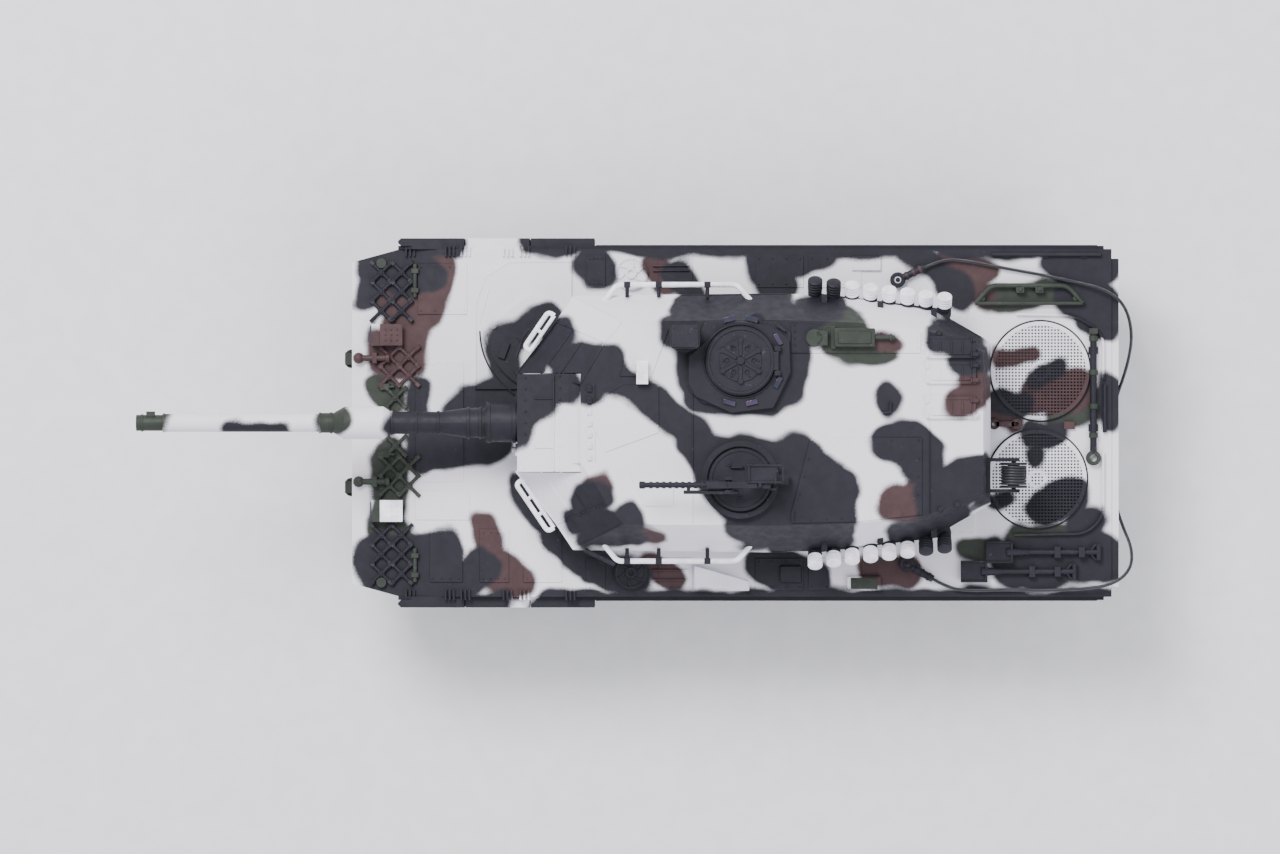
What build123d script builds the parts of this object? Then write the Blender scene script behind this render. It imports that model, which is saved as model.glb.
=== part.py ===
"""A 1:24 radio-controlled battle tank, built as separate pieces.

+X is forward, along the gun. +Y is the tank's left. +Z is up, and the tracks stand on Z = 0.
"""
import os
from math import atan2, cos, degrees, hypot, pi, radians, sin, sqrt, tan

from build123d import *

os.makedirs("parts", exist_ok=True)
standing = (Align.CENTER, Align.CENTER, Align.MIN)   # a cylinder that rises from its plane

# Driving dimensions, in millimetres
overall_length = 405.0
hull_length = 321.0
half_width = 76.5          # over the heavy front skirts
deck_half_width = 72.0
tub_half_width = 42.0
deck_z = 70.0
sponson_z = 57.0
belly_z = 21.0
wall = 2.0
running_gap = 0.05         # radial clearance of a shaft in its bore
gap = 0.4                  # clearance between pieces that move past each other

rear_x = -overall_length / 2
muzzle_x = overall_length / 2
nose_x = rear_x + hull_length
tub_rear_x = rear_x + 7.0

turret_x = -38.3           # the traverse axis
turret_floor_z = 75.0
bustle_z = 80.0
roof_z = 110.0
gun_z = 95.0
trunnion_x = 20.0

track_inner_y = 45.0
track_width = 25.0
belt_thickness = 3.5
wheel_count = 7
wheel_spacing = 34.3
first_wheel_x = 60.0
wheel_radius = 14.6
wheel_z = belt_thickness + gap + wheel_radius
wheel_inner_y = track_inner_y + 0.6
wheel_width = track_width - 1.2
idler_x, idler_z, idler_radius = 89.5, 35.0, 12.5
sprocket_x, sprocket_z, sprocket_tooth_radius = -175.5, 36.0, 15.2
sprocket_belt_radius = 14.2
sprocket_ring_offsets = (3.0, 19.6)
sprocket_ring_width = 2.2
sprocket_teeth = 12

axle_radius = 2.0          # of the road wheels and idlers
axle_length = 16.0
sprocket_axle_radius = 2.5
motor_shaft_radius = 1.0
sides = {"left": 1, "right": -1}
wheel_xs = [first_wheel_x - i * wheel_spacing for i in range(wheel_count)]


def save(shape, name):
    """Name a finished piece and write it as one STEP file."""
    shape.label = name
    export_step(shape, f"parts/{name}.step")


def group(*pieces):
    """Several separate solids that share one node."""
    return Compound(children=[piece.solid() for piece in pieces])


def side_plane(x, y, z, side):
    """A plane facing outward on one side of the hull, its X along the hull."""
    return Plane(origin=(x, side * y, z), x_dir=(1, 0, 0), z_dir=(0, side, 0))


def mirrored_outline(points):
    """A closed outline from its points on the left half, front to rear."""
    return points + [(x, -y) for x, y in reversed(points)]


def gear_points(teeth, module, addendum, dedendum, slack, phase=0.0):
    """The corners of a spur gear with straight-sided teeth."""
    pitch_radius = teeth * module / 2
    slope = tan(radians(20))
    pitch_width = pi * module / 2 - slack
    rings = (
        (pitch_radius - dedendum * module, pitch_width + 2 * slope * dedendum * module * 0.6),
        (pitch_radius + addendum * module, pitch_width - 2 * slope * addendum * module),
    )
    points = []
    for tooth in range(teeth):
        middle = 2 * pi * tooth / teeth + radians(phase)
        for (radius, width), end in ((rings[0], -1), (rings[1], -1), (rings[1], 1), (rings[0], 1)):
            angle = middle + end * width / 2 / radius
            points.append((radius * cos(angle), radius * sin(angle)))
    return points


# ---------------------------------------------------------------- lower hull

tub_profile = [
    (tub_rear_x, sponson_z),
    (tub_rear_x, 34),
    (tub_rear_x + 8, belly_z),
    (92, belly_z),
    (nose_x - 6, 44),
    (nose_x - 4, sponson_z),
]
door_size = (74.0, 46.0)
door_x = -30.0
switch_x = 30.0
switch_travel = 4.0

with BuildPart() as lower_hull:
    with BuildSketch(Plane.XZ):
        with BuildLine():
            Polyline(*tub_profile, close=True)
        make_face()
    extrude(amount=tub_half_width, both=True)
    with BuildSketch(Plane.XZ) as tub_inside:
        with BuildLine():
            Polyline(*tub_profile, close=True)
        make_face()
        offset(amount=-wall)
        with Locations((-45, sponson_z)):
            Rectangle(290, 8)
    extrude(amount=tub_half_width - wall, both=True, mode=Mode.SUBTRACT)
    # sprocket axles pass through the side walls
    with BuildSketch(Plane.XZ):
        with Locations((sprocket_x, sprocket_z)):
            Circle(sprocket_axle_radius + running_gap)
    extrude(amount=tub_half_width, both=True, mode=Mode.SUBTRACT)
    # battery opening and the slot of the power switch
    with Locations((door_x, 0, belly_z)):
        Box(door_size[0] - 6, door_size[1] - 6, 3 * wall, mode=Mode.SUBTRACT)
    with Locations((switch_x + switch_travel / 2, 0, belly_z)):
        Box(5 + switch_travel + 2 * gap, 4 + 2 * gap, 3 * wall, mode=Mode.SUBTRACT)
save(lower_hull.part, "lower_hull")

with BuildPart() as battery_door:
    with Locations((door_x, 0, belly_z - 0.8)):
        Box(*door_size, 1.6)
    with Locations((door_x, 0, belly_z + 1.0)):
        Box(door_size[0] - 7, door_size[1] - 7, 2.0)
    with Locations(*[(door_x + dx, 0, belly_z - 1.6) for dx in (-34.5, 34.5)]):
        Cylinder(1.2, 10, mode=Mode.SUBTRACT)
save(battery_door.part, "battery_door")

with BuildPart() as power_switch:
    with Locations((switch_x, 0, belly_z + 1.1)):
        Box(5, 4, 5)
    with Locations((switch_x, 0, belly_z + wall + gap + 0.6)):
        Box(8, 8, 1.2)
save(power_switch.part, "power_switch")

with BuildPart() as battery:
    with Locations((door_x, 0, 34)):
        Box(68, 36, 17)
    fillet(battery.edges().filter_by(Axis.X), radius=5)
save(battery.part, "battery_pack")

with BuildPart() as board:
    with Locations((56, 0, 27)):
        Box(44, 58, 1.6)
    with Locations((56, 10, 30.8)):
        Box(18, 14, 6)
    with Locations((46, -16, 29.8)):
        Box(12, 12, 4)
save(board.part, "control_board")

# ---------------------------------------------------------------- upper hull

plan_outline = mirrored_outline([
    (nose_x - 3.2, 66.7),
    (nose_x - 23, deck_half_width),
    (rear_x + 3, deck_half_width),
])
glacis_top_x = 64.0
ring_hole_radius = 37.0
fan_centres = ((-170.0, -21.5), (-168.7, 23.2))
fan_radius = 20.5
hatch_pin = (56.5, -41.0)
hatch_pin_radius = 1.5
eye_studs = ((-110.94, -59.14), (-114.91, 58.55))

with BuildPart() as upper_hull:
    with BuildSketch(Plane.XY.offset(sponson_z)):
        with BuildLine():
            Polyline(*plan_outline, close=True)
        make_face()
    extrude(amount=deck_z - sponson_z)
    # rear ledge that overhangs the rear plate
    with Locations((rear_x + 1.5, 0, deck_z - 2)):
        Box(3, 2 * deck_half_width - 8, 2.4)
    # the glacis slopes down to the nose
    with BuildSketch(Plane.XZ):
        with BuildLine():
            Polyline((glacis_top_x, deck_z), (nose_x + 2, deck_z), (nose_x + 2, 58.6), close=True)
        make_face()
    extrude(amount=half_width, both=True, mode=Mode.SUBTRACT)
    # hollow inside, open to the tub below
    with Locations((-67, 0, (sponson_z + deck_z) / 2)):
        Box(250, 2 * deck_half_width - 6, deck_z - sponson_z - 2 * wall, mode=Mode.SUBTRACT)
    with Locations((-67, 0, sponson_z)):
        Box(250, 2 * tub_half_width - 8, 2 * wall + 1, mode=Mode.SUBTRACT)
    # turret opening
    with Locations((turret_x, 0, deck_z)):
        Cylinder(ring_hole_radius, 6, mode=Mode.SUBTRACT)
    # raised block around the driver's place
    with BuildSketch(Plane.XY.offset(deck_z)):
        with BuildLine():
            Polyline((24, -68), (50, -67), (60, -61), (64, -50), (64, -14), (24, -14), close=True)
        make_face()
    extrude(amount=1.2)
    with Locations((*hatch_pin, deck_z)):
        Cylinder(hatch_pin_radius + running_gap, 8, mode=Mode.SUBTRACT)
    # studs that hold the eyes of the tow cable
    with Locations(*[(x, y, deck_z + 1.6) for x, y in eye_studs]):
        Cylinder(1.3, 3.2)
save(upper_hull.part, "upper_hull")

with BuildPart() as driver_hatch:
    with BuildSketch(Plane.XY.offset(deck_z + 1.2 + gap)):
        with BuildLine():
            Polyline((60, -38.5), (41, -53), (27, -48), (27, -16), (46, -16))
            ThreePointArc((46, -16), (56, -26), (60, -38.5))
        make_face()
    extrude(amount=1.4)
    with Locations((*hatch_pin, deck_z + 0.8)):
        Cylinder(hatch_pin_radius, 4.8)
save(driver_hatch.part, "driver_hatch")

with BuildPart() as fan_grilles:
    with Locations(*[(x, y, deck_z + 0.8) for x, y in fan_centres]):
        Cylinder(fan_radius, 1.6)
        Cylinder(fan_radius - 1.8, 1.6, mode=Mode.SUBTRACT)
        Cylinder(3.5, 1.2)
        with PolarLocations(0, 4):
            Box(2 * fan_radius - 2, 1.4, 0.9)
            Box(1.4, 2 * fan_radius - 2, 0.9)
save(fan_grilles.part, "fan_grilles")

# ---------------------------------------------------------------- skirts

with BuildPart() as side_skirts:
    for side in sides.values():
        with BuildSketch(side_plane(0, deck_half_width, 0, side)):
            with BuildLine():
                z = -side
                Polyline(
                    (rear_x + 6, z * 67), (rear_x + 6, z * 40), (rear_x + 16, z * 31),
                    (84, z * 31), (96, z * 42), (96, z * 64), (90, z * 67), close=True,
                )
            make_face()
        extrude(amount=1.4)
save(side_skirts.part, "side_skirts")

armour_blocks = ((96.0, 68.5), (68.0, 41.5), (41.0, 14.5))
with BuildPart() as skirt_blocks:
    for side in sides.values():
        for front, rear in armour_blocks:
            with Locations(((front + rear) / 2, side * (deck_half_width + 1.4 + 1.55), 49.5)):
                Box(front - rear, 3.1, 35)
    chamfer(skirt_blocks.edges().filter_by(Axis.Z).group_by(Axis.X)[-1], length=1.2)
save(skirt_blocks.part, "skirt_blocks")

# ---------------------------------------------------------------- running gear


def belt_points(circles):
    """The straight runs of a belt round circles given anticlockwise as (x, z, radius)."""
    runs = []
    for (x0, z0, r0), (x1, z1, r1) in zip(circles, circles[1:] + circles[:1]):
        length = hypot(x1 - x0, z1 - z0)
        ux, uz = (x1 - x0) / length, (z1 - z0) / length
        along = (r0 - r1) / length
        across = sqrt(1 - along**2)
        nx, nz = along * ux + across * uz, along * uz - across * ux
        runs.append(((x0 + r0 * nx, z0 + r0 * nz), (x1 + r1 * nx, z1 + r1 * nz), atan2(nz, nx)))
    return runs


def belt_outline(circles):
    """Draw a belt round circles as tangent lines and arcs."""
    runs = belt_points(circles)
    for (x, z, radius), before, after in zip(circles, runs[-1:] + runs[:-1], runs):
        turn = (after[2] - before[2]) % (2 * pi)
        middle = before[2] + turn / 2
        Line(after[0], after[1])
        ThreePointArc(before[1], (x + radius * cos(middle), z + radius * sin(middle)), after[0])


def track_circles(extra):
    """The circles that the belt lies on, grown by an extra radius."""
    return [
        (wheel_xs[-1], wheel_z, wheel_radius + gap + extra),
        (wheel_xs[0], wheel_z, wheel_radius + gap + extra),
        (idler_x, idler_z, idler_radius + gap + extra),
        (sprocket_x, sprocket_z, sprocket_belt_radius + extra),
    ]


for name, side in sides.items():
    with BuildPart() as track:
        with BuildSketch(Plane.XZ.offset(-side * track_inner_y)):
            with BuildLine():
                belt_outline(track_circles(belt_thickness))
            make_face()
            with BuildLine():
                belt_outline(track_circles(0))
            make_face(mode=Mode.SUBTRACT)
        extrude(amount=-side * track_width)
        # grooves that the sprocket's teeth run in
        for start in sprocket_ring_offsets:
            middle = wheel_inner_y + start + sprocket_ring_width / 2
            with Locations(side_plane(sprocket_x, middle, sprocket_z, side)):
                Cylinder(
                    sprocket_tooth_radius + gap, sprocket_ring_width + 2 * gap, mode=Mode.SUBTRACT
                )
    save(track.part, f"track_{name}")

rim_radius = 11.6
guide_gap = 3.6
for name, side in sides.items():
    for number, x in enumerate(wheel_xs, start=1):
        wheel_plane = side_plane(x, wheel_inner_y, wheel_z, side)
        half = (wheel_width - guide_gap) / 2
        with BuildPart(wheel_plane) as rim:
            Cylinder(rim_radius, wheel_width, align=standing)
            with Locations((0, 0, half)):
                Cylinder(rim_radius, guide_gap, align=standing,
                         mode=Mode.SUBTRACT)
                Cylinder(rim_radius - 2, guide_gap, align=standing)
            for end in (2.5, wheel_width - 2.5):
                with Locations((0, 0, end)):
                    Cylinder(rim_radius - 1.6, 5, mode=Mode.SUBTRACT)
                    Cylinder(4.6, 5)
            Cylinder(axle_radius + running_gap, axle_length, align=standing,
                     mode=Mode.SUBTRACT)
        tyres = []
        for start in (0, wheel_width - half):
            with BuildPart(wheel_plane) as tyre:
                with Locations((0, 0, start)):
                    Cylinder(wheel_radius, half, align=standing)
                    Cylinder(rim_radius, half, align=standing,
                             mode=Mode.SUBTRACT)
            tyres.append(tyre.part)
        save(group(rim.part, *tyres), f"road_wheel_{name}_{number}")

    idler_plane = side_plane(idler_x, wheel_inner_y, idler_z, side)
    with BuildPart(idler_plane) as idler:
        Cylinder(idler_radius, wheel_width, align=standing)
        for end in (2.5, wheel_width - 2.5):
            with Locations((0, 0, end)):
                Cylinder(idler_radius - 1.8, 5, mode=Mode.SUBTRACT)
                Cylinder(4.2, 5)
        Cylinder(axle_radius + running_gap, axle_length, align=standing, mode=Mode.SUBTRACT)
    save(idler.part, f"idler_{name}")

# swing arms with their stub axles
arm_pivot_rise = 7.5
arm_trail = 10.0
with BuildPart() as swing_arms:
    for side in sides.values():
        stations = [(x, wheel_z) for x in wheel_xs] + [(idler_x, idler_z)]
        for x, z in stations:
            rise = side * arm_pivot_rise
            with BuildSketch(side_plane(x, tub_half_width, z, side)):
                with Locations((-arm_trail / 2, -rise / 2)):
                    SlotCenterToCenter(
                        hypot(arm_trail, arm_pivot_rise), 5.6,
                        rotation=degrees(atan2(rise, arm_trail)),
                    )
            extrude(amount=2.6)
            with Locations(side_plane(x, tub_half_width + 2.6, z, side)):
                Cylinder(axle_radius, axle_length, align=standing)
save(swing_arms.part, "swing_arms")

# ---------------------------------------------------------------- drive

gear_module = 0.8
gear_teeth = 30
pinion_teeth = 10
gear_distance = gear_module * (gear_teeth + pinion_teeth) / 2 + 0.12
gear_y = 33.0
gear_width = 4.0
plate_y = 31.0
plate_thickness = 1.6
motor_x = sprocket_x + gear_distance
motor_radius = 10.0
motor_length = 25.0

for name, side in sides.items():
    with BuildPart(side_plane(sprocket_x, wheel_inner_y, sprocket_z, side)) as sprocket:
        Cylinder(9, wheel_width, align=standing)
        with Locations((0, 0, wheel_width - 2.5)):
            Cylinder(7, 5, mode=Mode.SUBTRACT)
            Cylinder(4, 5)
        for start in sprocket_ring_offsets:
            ring_plane = side_plane(sprocket_x, wheel_inner_y + start, sprocket_z, side)
            with BuildSketch(ring_plane):
                Circle(13.2)
                with PolarLocations(sprocket_tooth_radius - 1.5, sprocket_teeth):
                    Trapezoid(3.2, 3.0, 70, rotation=-90)
            extrude(amount=sprocket_ring_width)
        with Locations((0, 0, (plate_y - wheel_inner_y) / 2)):
            Cylinder(sprocket_axle_radius, wheel_inner_y - plate_y)

    with BuildPart() as final_gear:
        with BuildSketch(side_plane(sprocket_x, gear_y, sprocket_z, side)):
            with BuildLine():
                Polyline(*gear_points(gear_teeth, gear_module, 0.8, 1.1, 0.2), close=True)
            make_face()
            Circle(sprocket_axle_radius, mode=Mode.SUBTRACT)
        extrude(amount=gear_width)
    save(group(sprocket.part, final_gear.part), f"sprocket_{name}")

    with BuildPart() as pinion:
        with BuildSketch(side_plane(motor_x, gear_y, sprocket_z, side)):
            with BuildLine():
                Polyline(
                    *gear_points(pinion_teeth, gear_module, 0.8, 1.1, 0.2, 180 / pinion_teeth),
                    close=True,
                )
            make_face()
        extrude(amount=gear_width)
        with BuildSketch(side_plane(motor_x, plate_y - 3, sprocket_z, side)):
            Circle(motor_shaft_radius)
        extrude(amount=gear_y - plate_y + 3)
    save(pinion.part, f"motor_pinion_{name}")

drive_units = []
for side in sides.values():
    with BuildPart(side_plane(motor_x, plate_y, sprocket_z, side)) as motor:
        with Locations((0, 0, -motor_length / 2)):
            Cylinder(motor_radius, motor_length)
        Cylinder(motor_shaft_radius + running_gap, 10, mode=Mode.SUBTRACT)
    with BuildPart() as gearbox_plate:
        with BuildSketch(side_plane((sprocket_x + motor_x) / 2, plate_y, sprocket_z, side)):
            Rectangle(34, 23)
            with Locations((-gear_distance / 2, 0)):
                Circle(sprocket_axle_radius + running_gap, mode=Mode.SUBTRACT)
            with Locations((gear_distance / 2, 0)):
                Circle(2, mode=Mode.SUBTRACT)
        extrude(amount=plate_thickness)
    drive_units += [motor.part, gearbox_plate.part]
save(group(*drive_units), "drive_units")

# ---------------------------------------------------------------- traverse

ring_module = 1.0
ring_teeth = 60
traverse_teeth = 12
traverse_x = turret_x + ring_module * (ring_teeth - traverse_teeth) / 2 - 0.12
neck_radius = ring_hole_radius - 0.5
race_radius = 45.0         # the flange that rests over the deck
turret_bore_radius = 28.0  # the way through for the wires
ring_low_z = 64.0

with BuildPart() as turret_ring:
    with BuildSketch(Plane.XY.offset(ring_low_z)):
        with Locations((turret_x, 0)):
            Circle(neck_radius)
    extrude(amount=turret_floor_z - ring_low_z)
    with BuildSketch(Plane.XY.offset(deck_z + gap)):
        with Locations((turret_x, 0)):
            Circle(race_radius)
    extrude(amount=turret_floor_z - deck_z - gap)
    with Locations((turret_x, 0, 72)):
        Cylinder(turret_bore_radius, 40, mode=Mode.SUBTRACT)
    with BuildSketch(Plane((turret_x, 0, ring_low_z))):
        with BuildLine():
            Polyline(*gear_points(ring_teeth, ring_module, 1.1, 0.8, -0.2), close=True)
        make_face()
    extrude(amount=6, mode=Mode.SUBTRACT)
save(turret_ring.part, "turret_ring")

with BuildPart() as traverse_pinion:
    with BuildSketch(Plane((traverse_x, 0, ring_low_z + 0.5))):
        with BuildLine():
            Polyline(*gear_points(traverse_teeth, ring_module, 0.8, 1.1, 0.2), close=True)
        make_face()
    extrude(amount=4.5)
    with Locations((traverse_x, 0, ring_low_z - 2)):
        Cylinder(motor_shaft_radius, 6)
save(traverse_pinion.part, "traverse_pinion")

with BuildPart() as traverse_motor:
    with Locations((traverse_x, 0, 53)):
        Cylinder(6, 20)
    with Locations((traverse_x, 0, 62)):
        Cylinder(motor_shaft_radius + running_gap, 8, mode=Mode.SUBTRACT)
    with Locations((traverse_x, 0, 43.8)):
        Box(18, 2 * (tub_half_width - wall), 1.6)
save(traverse_motor.part, "traverse_motor")

# ---------------------------------------------------------------- turret

turret_widest_z = 89.0
turret_low = [(40, 19), (25, 37), (17, 46), (-62, 47), (-92, 46), (-120, 41), (-140, 29)]
turret_wide = [(46.6, 20), (30, 41.5), (23, 52), (-62, 53), (-93, 51.5), (-125, 46.5), (-148.5, 33)]
turret_roof = [(20, 16), (10, 33), (3, 41.5), (-62, 42), (-93, 41), (-121, 38), (-144.5, 29)]
cheek_split_x = 12.0
mantlet_half_width = 20.0
drum_radius = 13.0
trunnion_radius = 2.0


# the whole faceted block, lofted through its three outlines, from which the shell and the
# cheeks are cut
with BuildPart() as turret_block:
    for low, low_z, high, high_z in (
        (turret_low, bustle_z, turret_wide, turret_widest_z),
        (turret_wide, turret_widest_z, turret_roof, roof_z),
    ):
        for outline, z in ((low, low_z), (high, high_z)):
            with BuildSketch(Plane.XY.offset(z)):
                with BuildLine():
                    Polyline(*mirrored_outline(outline), close=True)
                make_face()
        loft(ruled=True)
    with Locations(((36 - 88) / 2, 0, (turret_floor_z + bustle_z) / 2)):
        Box(36 + 88, 74, bustle_z - turret_floor_z)
    # the slot between the cheeks, with a round back for the gun's drum
    with Locations((trunnion_x + 25, 0, 92)):
        Box(50, 2 * (mantlet_half_width + gap), 60, mode=Mode.SUBTRACT)
    with Locations(Plane(origin=(trunnion_x, 0, gun_z), z_dir=(0, 1, 0))):
        Cylinder(drum_radius + gap, 2 * (mantlet_half_width + gap), mode=Mode.SUBTRACT)

with BuildPart() as turret_shell:
    add(turret_block.part)
    split(bisect_by=Plane.YZ.offset(cheek_split_x), keep=Keep.BOTTOM)
    with Locations((turret_x - 22, 0, (turret_floor_z + roof_z) / 2 + 0.5)):
        Box(124, 66, roof_z - turret_floor_z - 5, mode=Mode.SUBTRACT)
    with Locations((turret_x, 0, turret_floor_z)):
        Cylinder(turret_bore_radius, 8, mode=Mode.SUBTRACT)
save(turret_shell.part, "turret_shell")

with BuildPart() as cheek_armour:
    add(turret_block.part)
    split(bisect_by=Plane.YZ.offset(cheek_split_x), keep=Keep.TOP)
save(cheek_armour.part, "cheek_armour")

with BuildPart() as mantlet:
    with BuildSketch(Plane.XZ):
        with BuildLine():
            Polyline((20, 82), (46, 87), (46, 103), (20, 108), close=True)
        make_face()
        with Locations((trunnion_x, gun_z)):
            Circle(drum_radius)
    extrude(amount=mantlet_half_width, both=True)
    with BuildSketch(Plane.XZ):
        with Locations((trunnion_x, gun_z)):
            Circle(trunnion_radius)
    extrude(amount=mantlet_half_width, both=True, mode=Mode.SUBTRACT)
save(mantlet.part, "mantlet")

# ---------------------------------------------------------------- gun

bore_radius = 2.5
barrel_steps = [
    (46.0, 7.9), (59.0, 7.9), (59.0, 6.2), (67.0, 6.2), (77.5, 4.6), (98.0, 4.6),
]
barrel_front_steps = [
    (121.5, 4.1), (127.0, 4.1), (127.0, 3.7), (191.0, 3.7), (191.0, 3.3), (muzzle_x, 3.3),
]
evacuator_steps = [(98.0, 4.6), (101.0, 6.7), (117.0, 6.7), (121.5, 4.1)]

with BuildPart() as gun_barrel:
    with BuildSketch(Plane.XZ):
        with BuildLine():
            profile = [(x, gun_z + r) for x, r in barrel_steps + barrel_front_steps]
            Polyline((46, gun_z), *profile, (muzzle_x, gun_z), close=True)
        make_face()
    revolve(axis=Axis((0, 0, gun_z), (1, 0, 0)))
    with Locations(Plane(origin=(muzzle_x, 0, gun_z), z_dir=(-1, 0, 0))):
        Cylinder(bore_radius, 60, align=standing,
                 mode=Mode.SUBTRACT)

with BuildPart() as bore_evacuator:
    with BuildSketch(Plane.XZ):
        with BuildLine():
            outer = [(x, gun_z + r) for x, r in evacuator_steps]
            Polyline(*outer, close=True)
        make_face()
    revolve(axis=Axis((0, 0, gun_z), (1, 0, 0)))
save(group(gun_barrel.part, bore_evacuator.part), "gun_barrel")

# ---------------------------------------------------------------- hatches and sights

commander_xy = (-45.3, -25.3)
loader_xy = (-45.3, 23.2)
sight_xy = (-22.6, -35.2)
ring_top_z = roof_z + 3
loader_ring_z = roof_z + 2
lid_radius = 14.0
loader_lid_radius = 12.8
commander_hinge = (-60.4, roof_z + 4.6)
hinge_pin_radius = 0.6
loader_pin_radius = 1.0
loader_pin = (loader_xy[0] - 17.6, loader_xy[1])

hinge_at = (commander_hinge[0], commander_xy[1], commander_hinge[1])

commander_ring_points = [
    (-41.6, -42.2), (-57.3, -39.7), (-65.2, -33.9), (-65.6, -20.7),
    (-58.6, -6.2), (-41.6, -4.1), (-27.1, -10.8), (-24.2, -16.1), (-24.2, -26.9),
]
with BuildPart() as hatch_rings:
    with BuildSketch(Plane.XY.offset(roof_z)):
        with BuildLine():
            Polyline(*commander_ring_points, close=True)
        make_face()
        with Locations(commander_xy):
            Circle(lid_radius - 3, mode=Mode.SUBTRACT)
    extrude(amount=ring_top_z - roof_z)
    with Locations(*[(commander_hinge[0], commander_xy[1] + dy, ring_top_z + 1) for dy in (-5, 5)]):
        Box(2.4, 2, 2.8)
    with Locations(Plane(origin=hinge_at, z_dir=(0, 1, 0))):
        Cylinder(hinge_pin_radius + running_gap, 14, mode=Mode.SUBTRACT)
    with BuildSketch(Plane.XY.offset(roof_z)):
        with Locations(loader_xy):
            Circle(15.9)
            Circle(loader_lid_radius - 2, mode=Mode.SUBTRACT)
        with Locations(loader_pin):
            Circle(3)
    extrude(amount=loader_ring_z - roof_z)
    with Locations((*loader_pin, loader_ring_z - 1)):
        Cylinder(loader_pin_radius + running_gap, 4, mode=Mode.SUBTRACT)
save(hatch_rings.part, "hatch_rings")

with BuildPart() as commander_hatch:
    with BuildSketch(Plane.XY.offset(ring_top_z + gap)):
        with Locations(commander_xy):
            Circle(lid_radius)
        with Locations((commander_hinge[0] + 1.9, commander_xy[1])):
            Rectangle(3.8, 7.4)
    extrude(amount=1.8)
    with BuildSketch(Plane(origin=hinge_at, x_dir=(1, 0, 0), z_dir=(0, 1, 0))):
        Circle(hinge_pin_radius)
    extrude(amount=5.8, both=True)
    # raised disc with six shallow wells
    with Locations((*commander_xy, ring_top_z + gap + 2.1)):
        Cylinder(8.5, 0.6)
        with PolarLocations(5.5, 6):
            Cylinder(1.1, 0.6, mode=Mode.SUBTRACT)
save(commander_hatch.part, "commander_hatch")

loader_lid_z = loader_ring_z + 1.8
with BuildPart() as loader_hatch:
    with Locations((*loader_xy, loader_lid_z + 0.7)):
        Cylinder(loader_lid_radius, 1.4)
    with Locations(((loader_xy[0] + loader_pin[0]) / 2 - 2, loader_pin[1], loader_lid_z + 0.7)):
        Box(abs(loader_xy[0] - loader_pin[0]), 4, 1.4)
    with Locations((*loader_pin, loader_lid_z - 0.1)):
        Cylinder(loader_pin_radius, 3)
save(loader_hatch.part, "loader_hatch")

with BuildPart() as panoramic_sight:
    with Locations((*sight_xy, roof_z + gap + 3.8)):
        Cylinder(6.2, 7.6)
    with BuildSketch(Plane.XY.offset(roof_z + 7.8)):
        with Locations(sight_xy):
            RectangleRounded(12, 10, 1.5)
    extrude(amount=8)
    with Locations((sight_xy[0] + 6, sight_xy[1], roof_z + 12)):
        Box(1.2, 7, 4.6, mode=Mode.SUBTRACT)
save(panoramic_sight.part, "panoramic_sight")

with BuildPart() as gunner_sight:
    with Locations((-5, -20.6, roof_z + 1.8)):
        Box(4.4, 9.2, 3.6)
    with Locations((-2.8, -20.6, roof_z + 1.8)):
        Box(1, 7, 2.2, mode=Mode.SUBTRACT)

# ---------------------------------------------------------------- machine gun

mg_z = roof_z + 14
mg_y = loader_xy[1] + 2.1
mg_pivot_x = loader_xy[0] + 5
mg_muzzle_x = loader_xy[0] + 41.4
mg_rear_x = loader_xy[0] - 12
mg_pin_radius = 0.7
mount_radius = 15.9        # of the race that the gun runs on, over the loader's ring
race_low_z = loader_ring_z + gap

with BuildPart() as mg_mount:
    with BuildSketch(Plane.XY.offset(race_low_z)):
        with Locations(loader_xy):
            Circle(mount_radius)
            Circle(loader_lid_radius + 0.8, mode=Mode.SUBTRACT)
    extrude(amount=0.9)
    with Locations((loader_xy[0] + 14.8, mg_y, (race_low_z + 119.4) / 2)):
        Box(2.2, 4, 119.4 - race_low_z)
    with Locations(((mg_pivot_x - 1.5 + loader_xy[0] + mount_radius) / 2, mg_y, 118.6)):
        Box(loader_xy[0] + mount_radius - mg_pivot_x + 1.5, 4, 1.6)
    with Locations(*[(mg_pivot_x, mg_y + dy, 122.2) for dy in (-2.6, 2.6)]):
        Box(3, 1.2, 6.6)
    with Locations((mg_pivot_x, mg_y, 119.2)):
        Box(3, 6.4, 1)
    with Locations(Plane(origin=(mg_pivot_x, mg_y, mg_z), z_dir=(0, 1, 0))):
        Cylinder(mg_pin_radius + running_gap, 12, mode=Mode.SUBTRACT)
save(mg_mount.part, "mg_mount")

with BuildPart() as machine_gun:
    with Locations(((mg_rear_x + mg_pivot_x + 9) / 2, mg_y, mg_z + 0.3)):
        Box(mg_pivot_x + 9 - mg_rear_x, 2.8, 3.8)
    with Locations(Plane(origin=(mg_pivot_x + 8, mg_y, mg_z + 0.6), z_dir=(1, 0, 0))):
        Cylinder(1.1, mg_muzzle_x - mg_pivot_x - 8,
                 align=standing)
    with Locations(Plane(origin=(mg_pivot_x, mg_y, mg_z), z_dir=(0, 1, 0))):
        Cylinder(mg_pin_radius, 6.4)

with BuildPart() as ammo_box:
    with Locations((loader_xy[0] - 8.4, mg_y - 1.4 - 3.2, mg_z + 0.6)):
        Box(12, 6.4, 5)
save(group(machine_gun.part, ammo_box.part), "machine_gun")

# ---------------------------------------------------------------- turret fittings

with BuildPart() as stowage_lids:
    with Locations(*[(-131.5, y, roof_z + 0.7) for y in (-31, -20.5, -6.2)]):
        Box(20, 9, 1.4)
save(Compound(children=[gunner_sight.part.solid(), *stowage_lids.part.solids()]), "roof_fittings")

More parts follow.
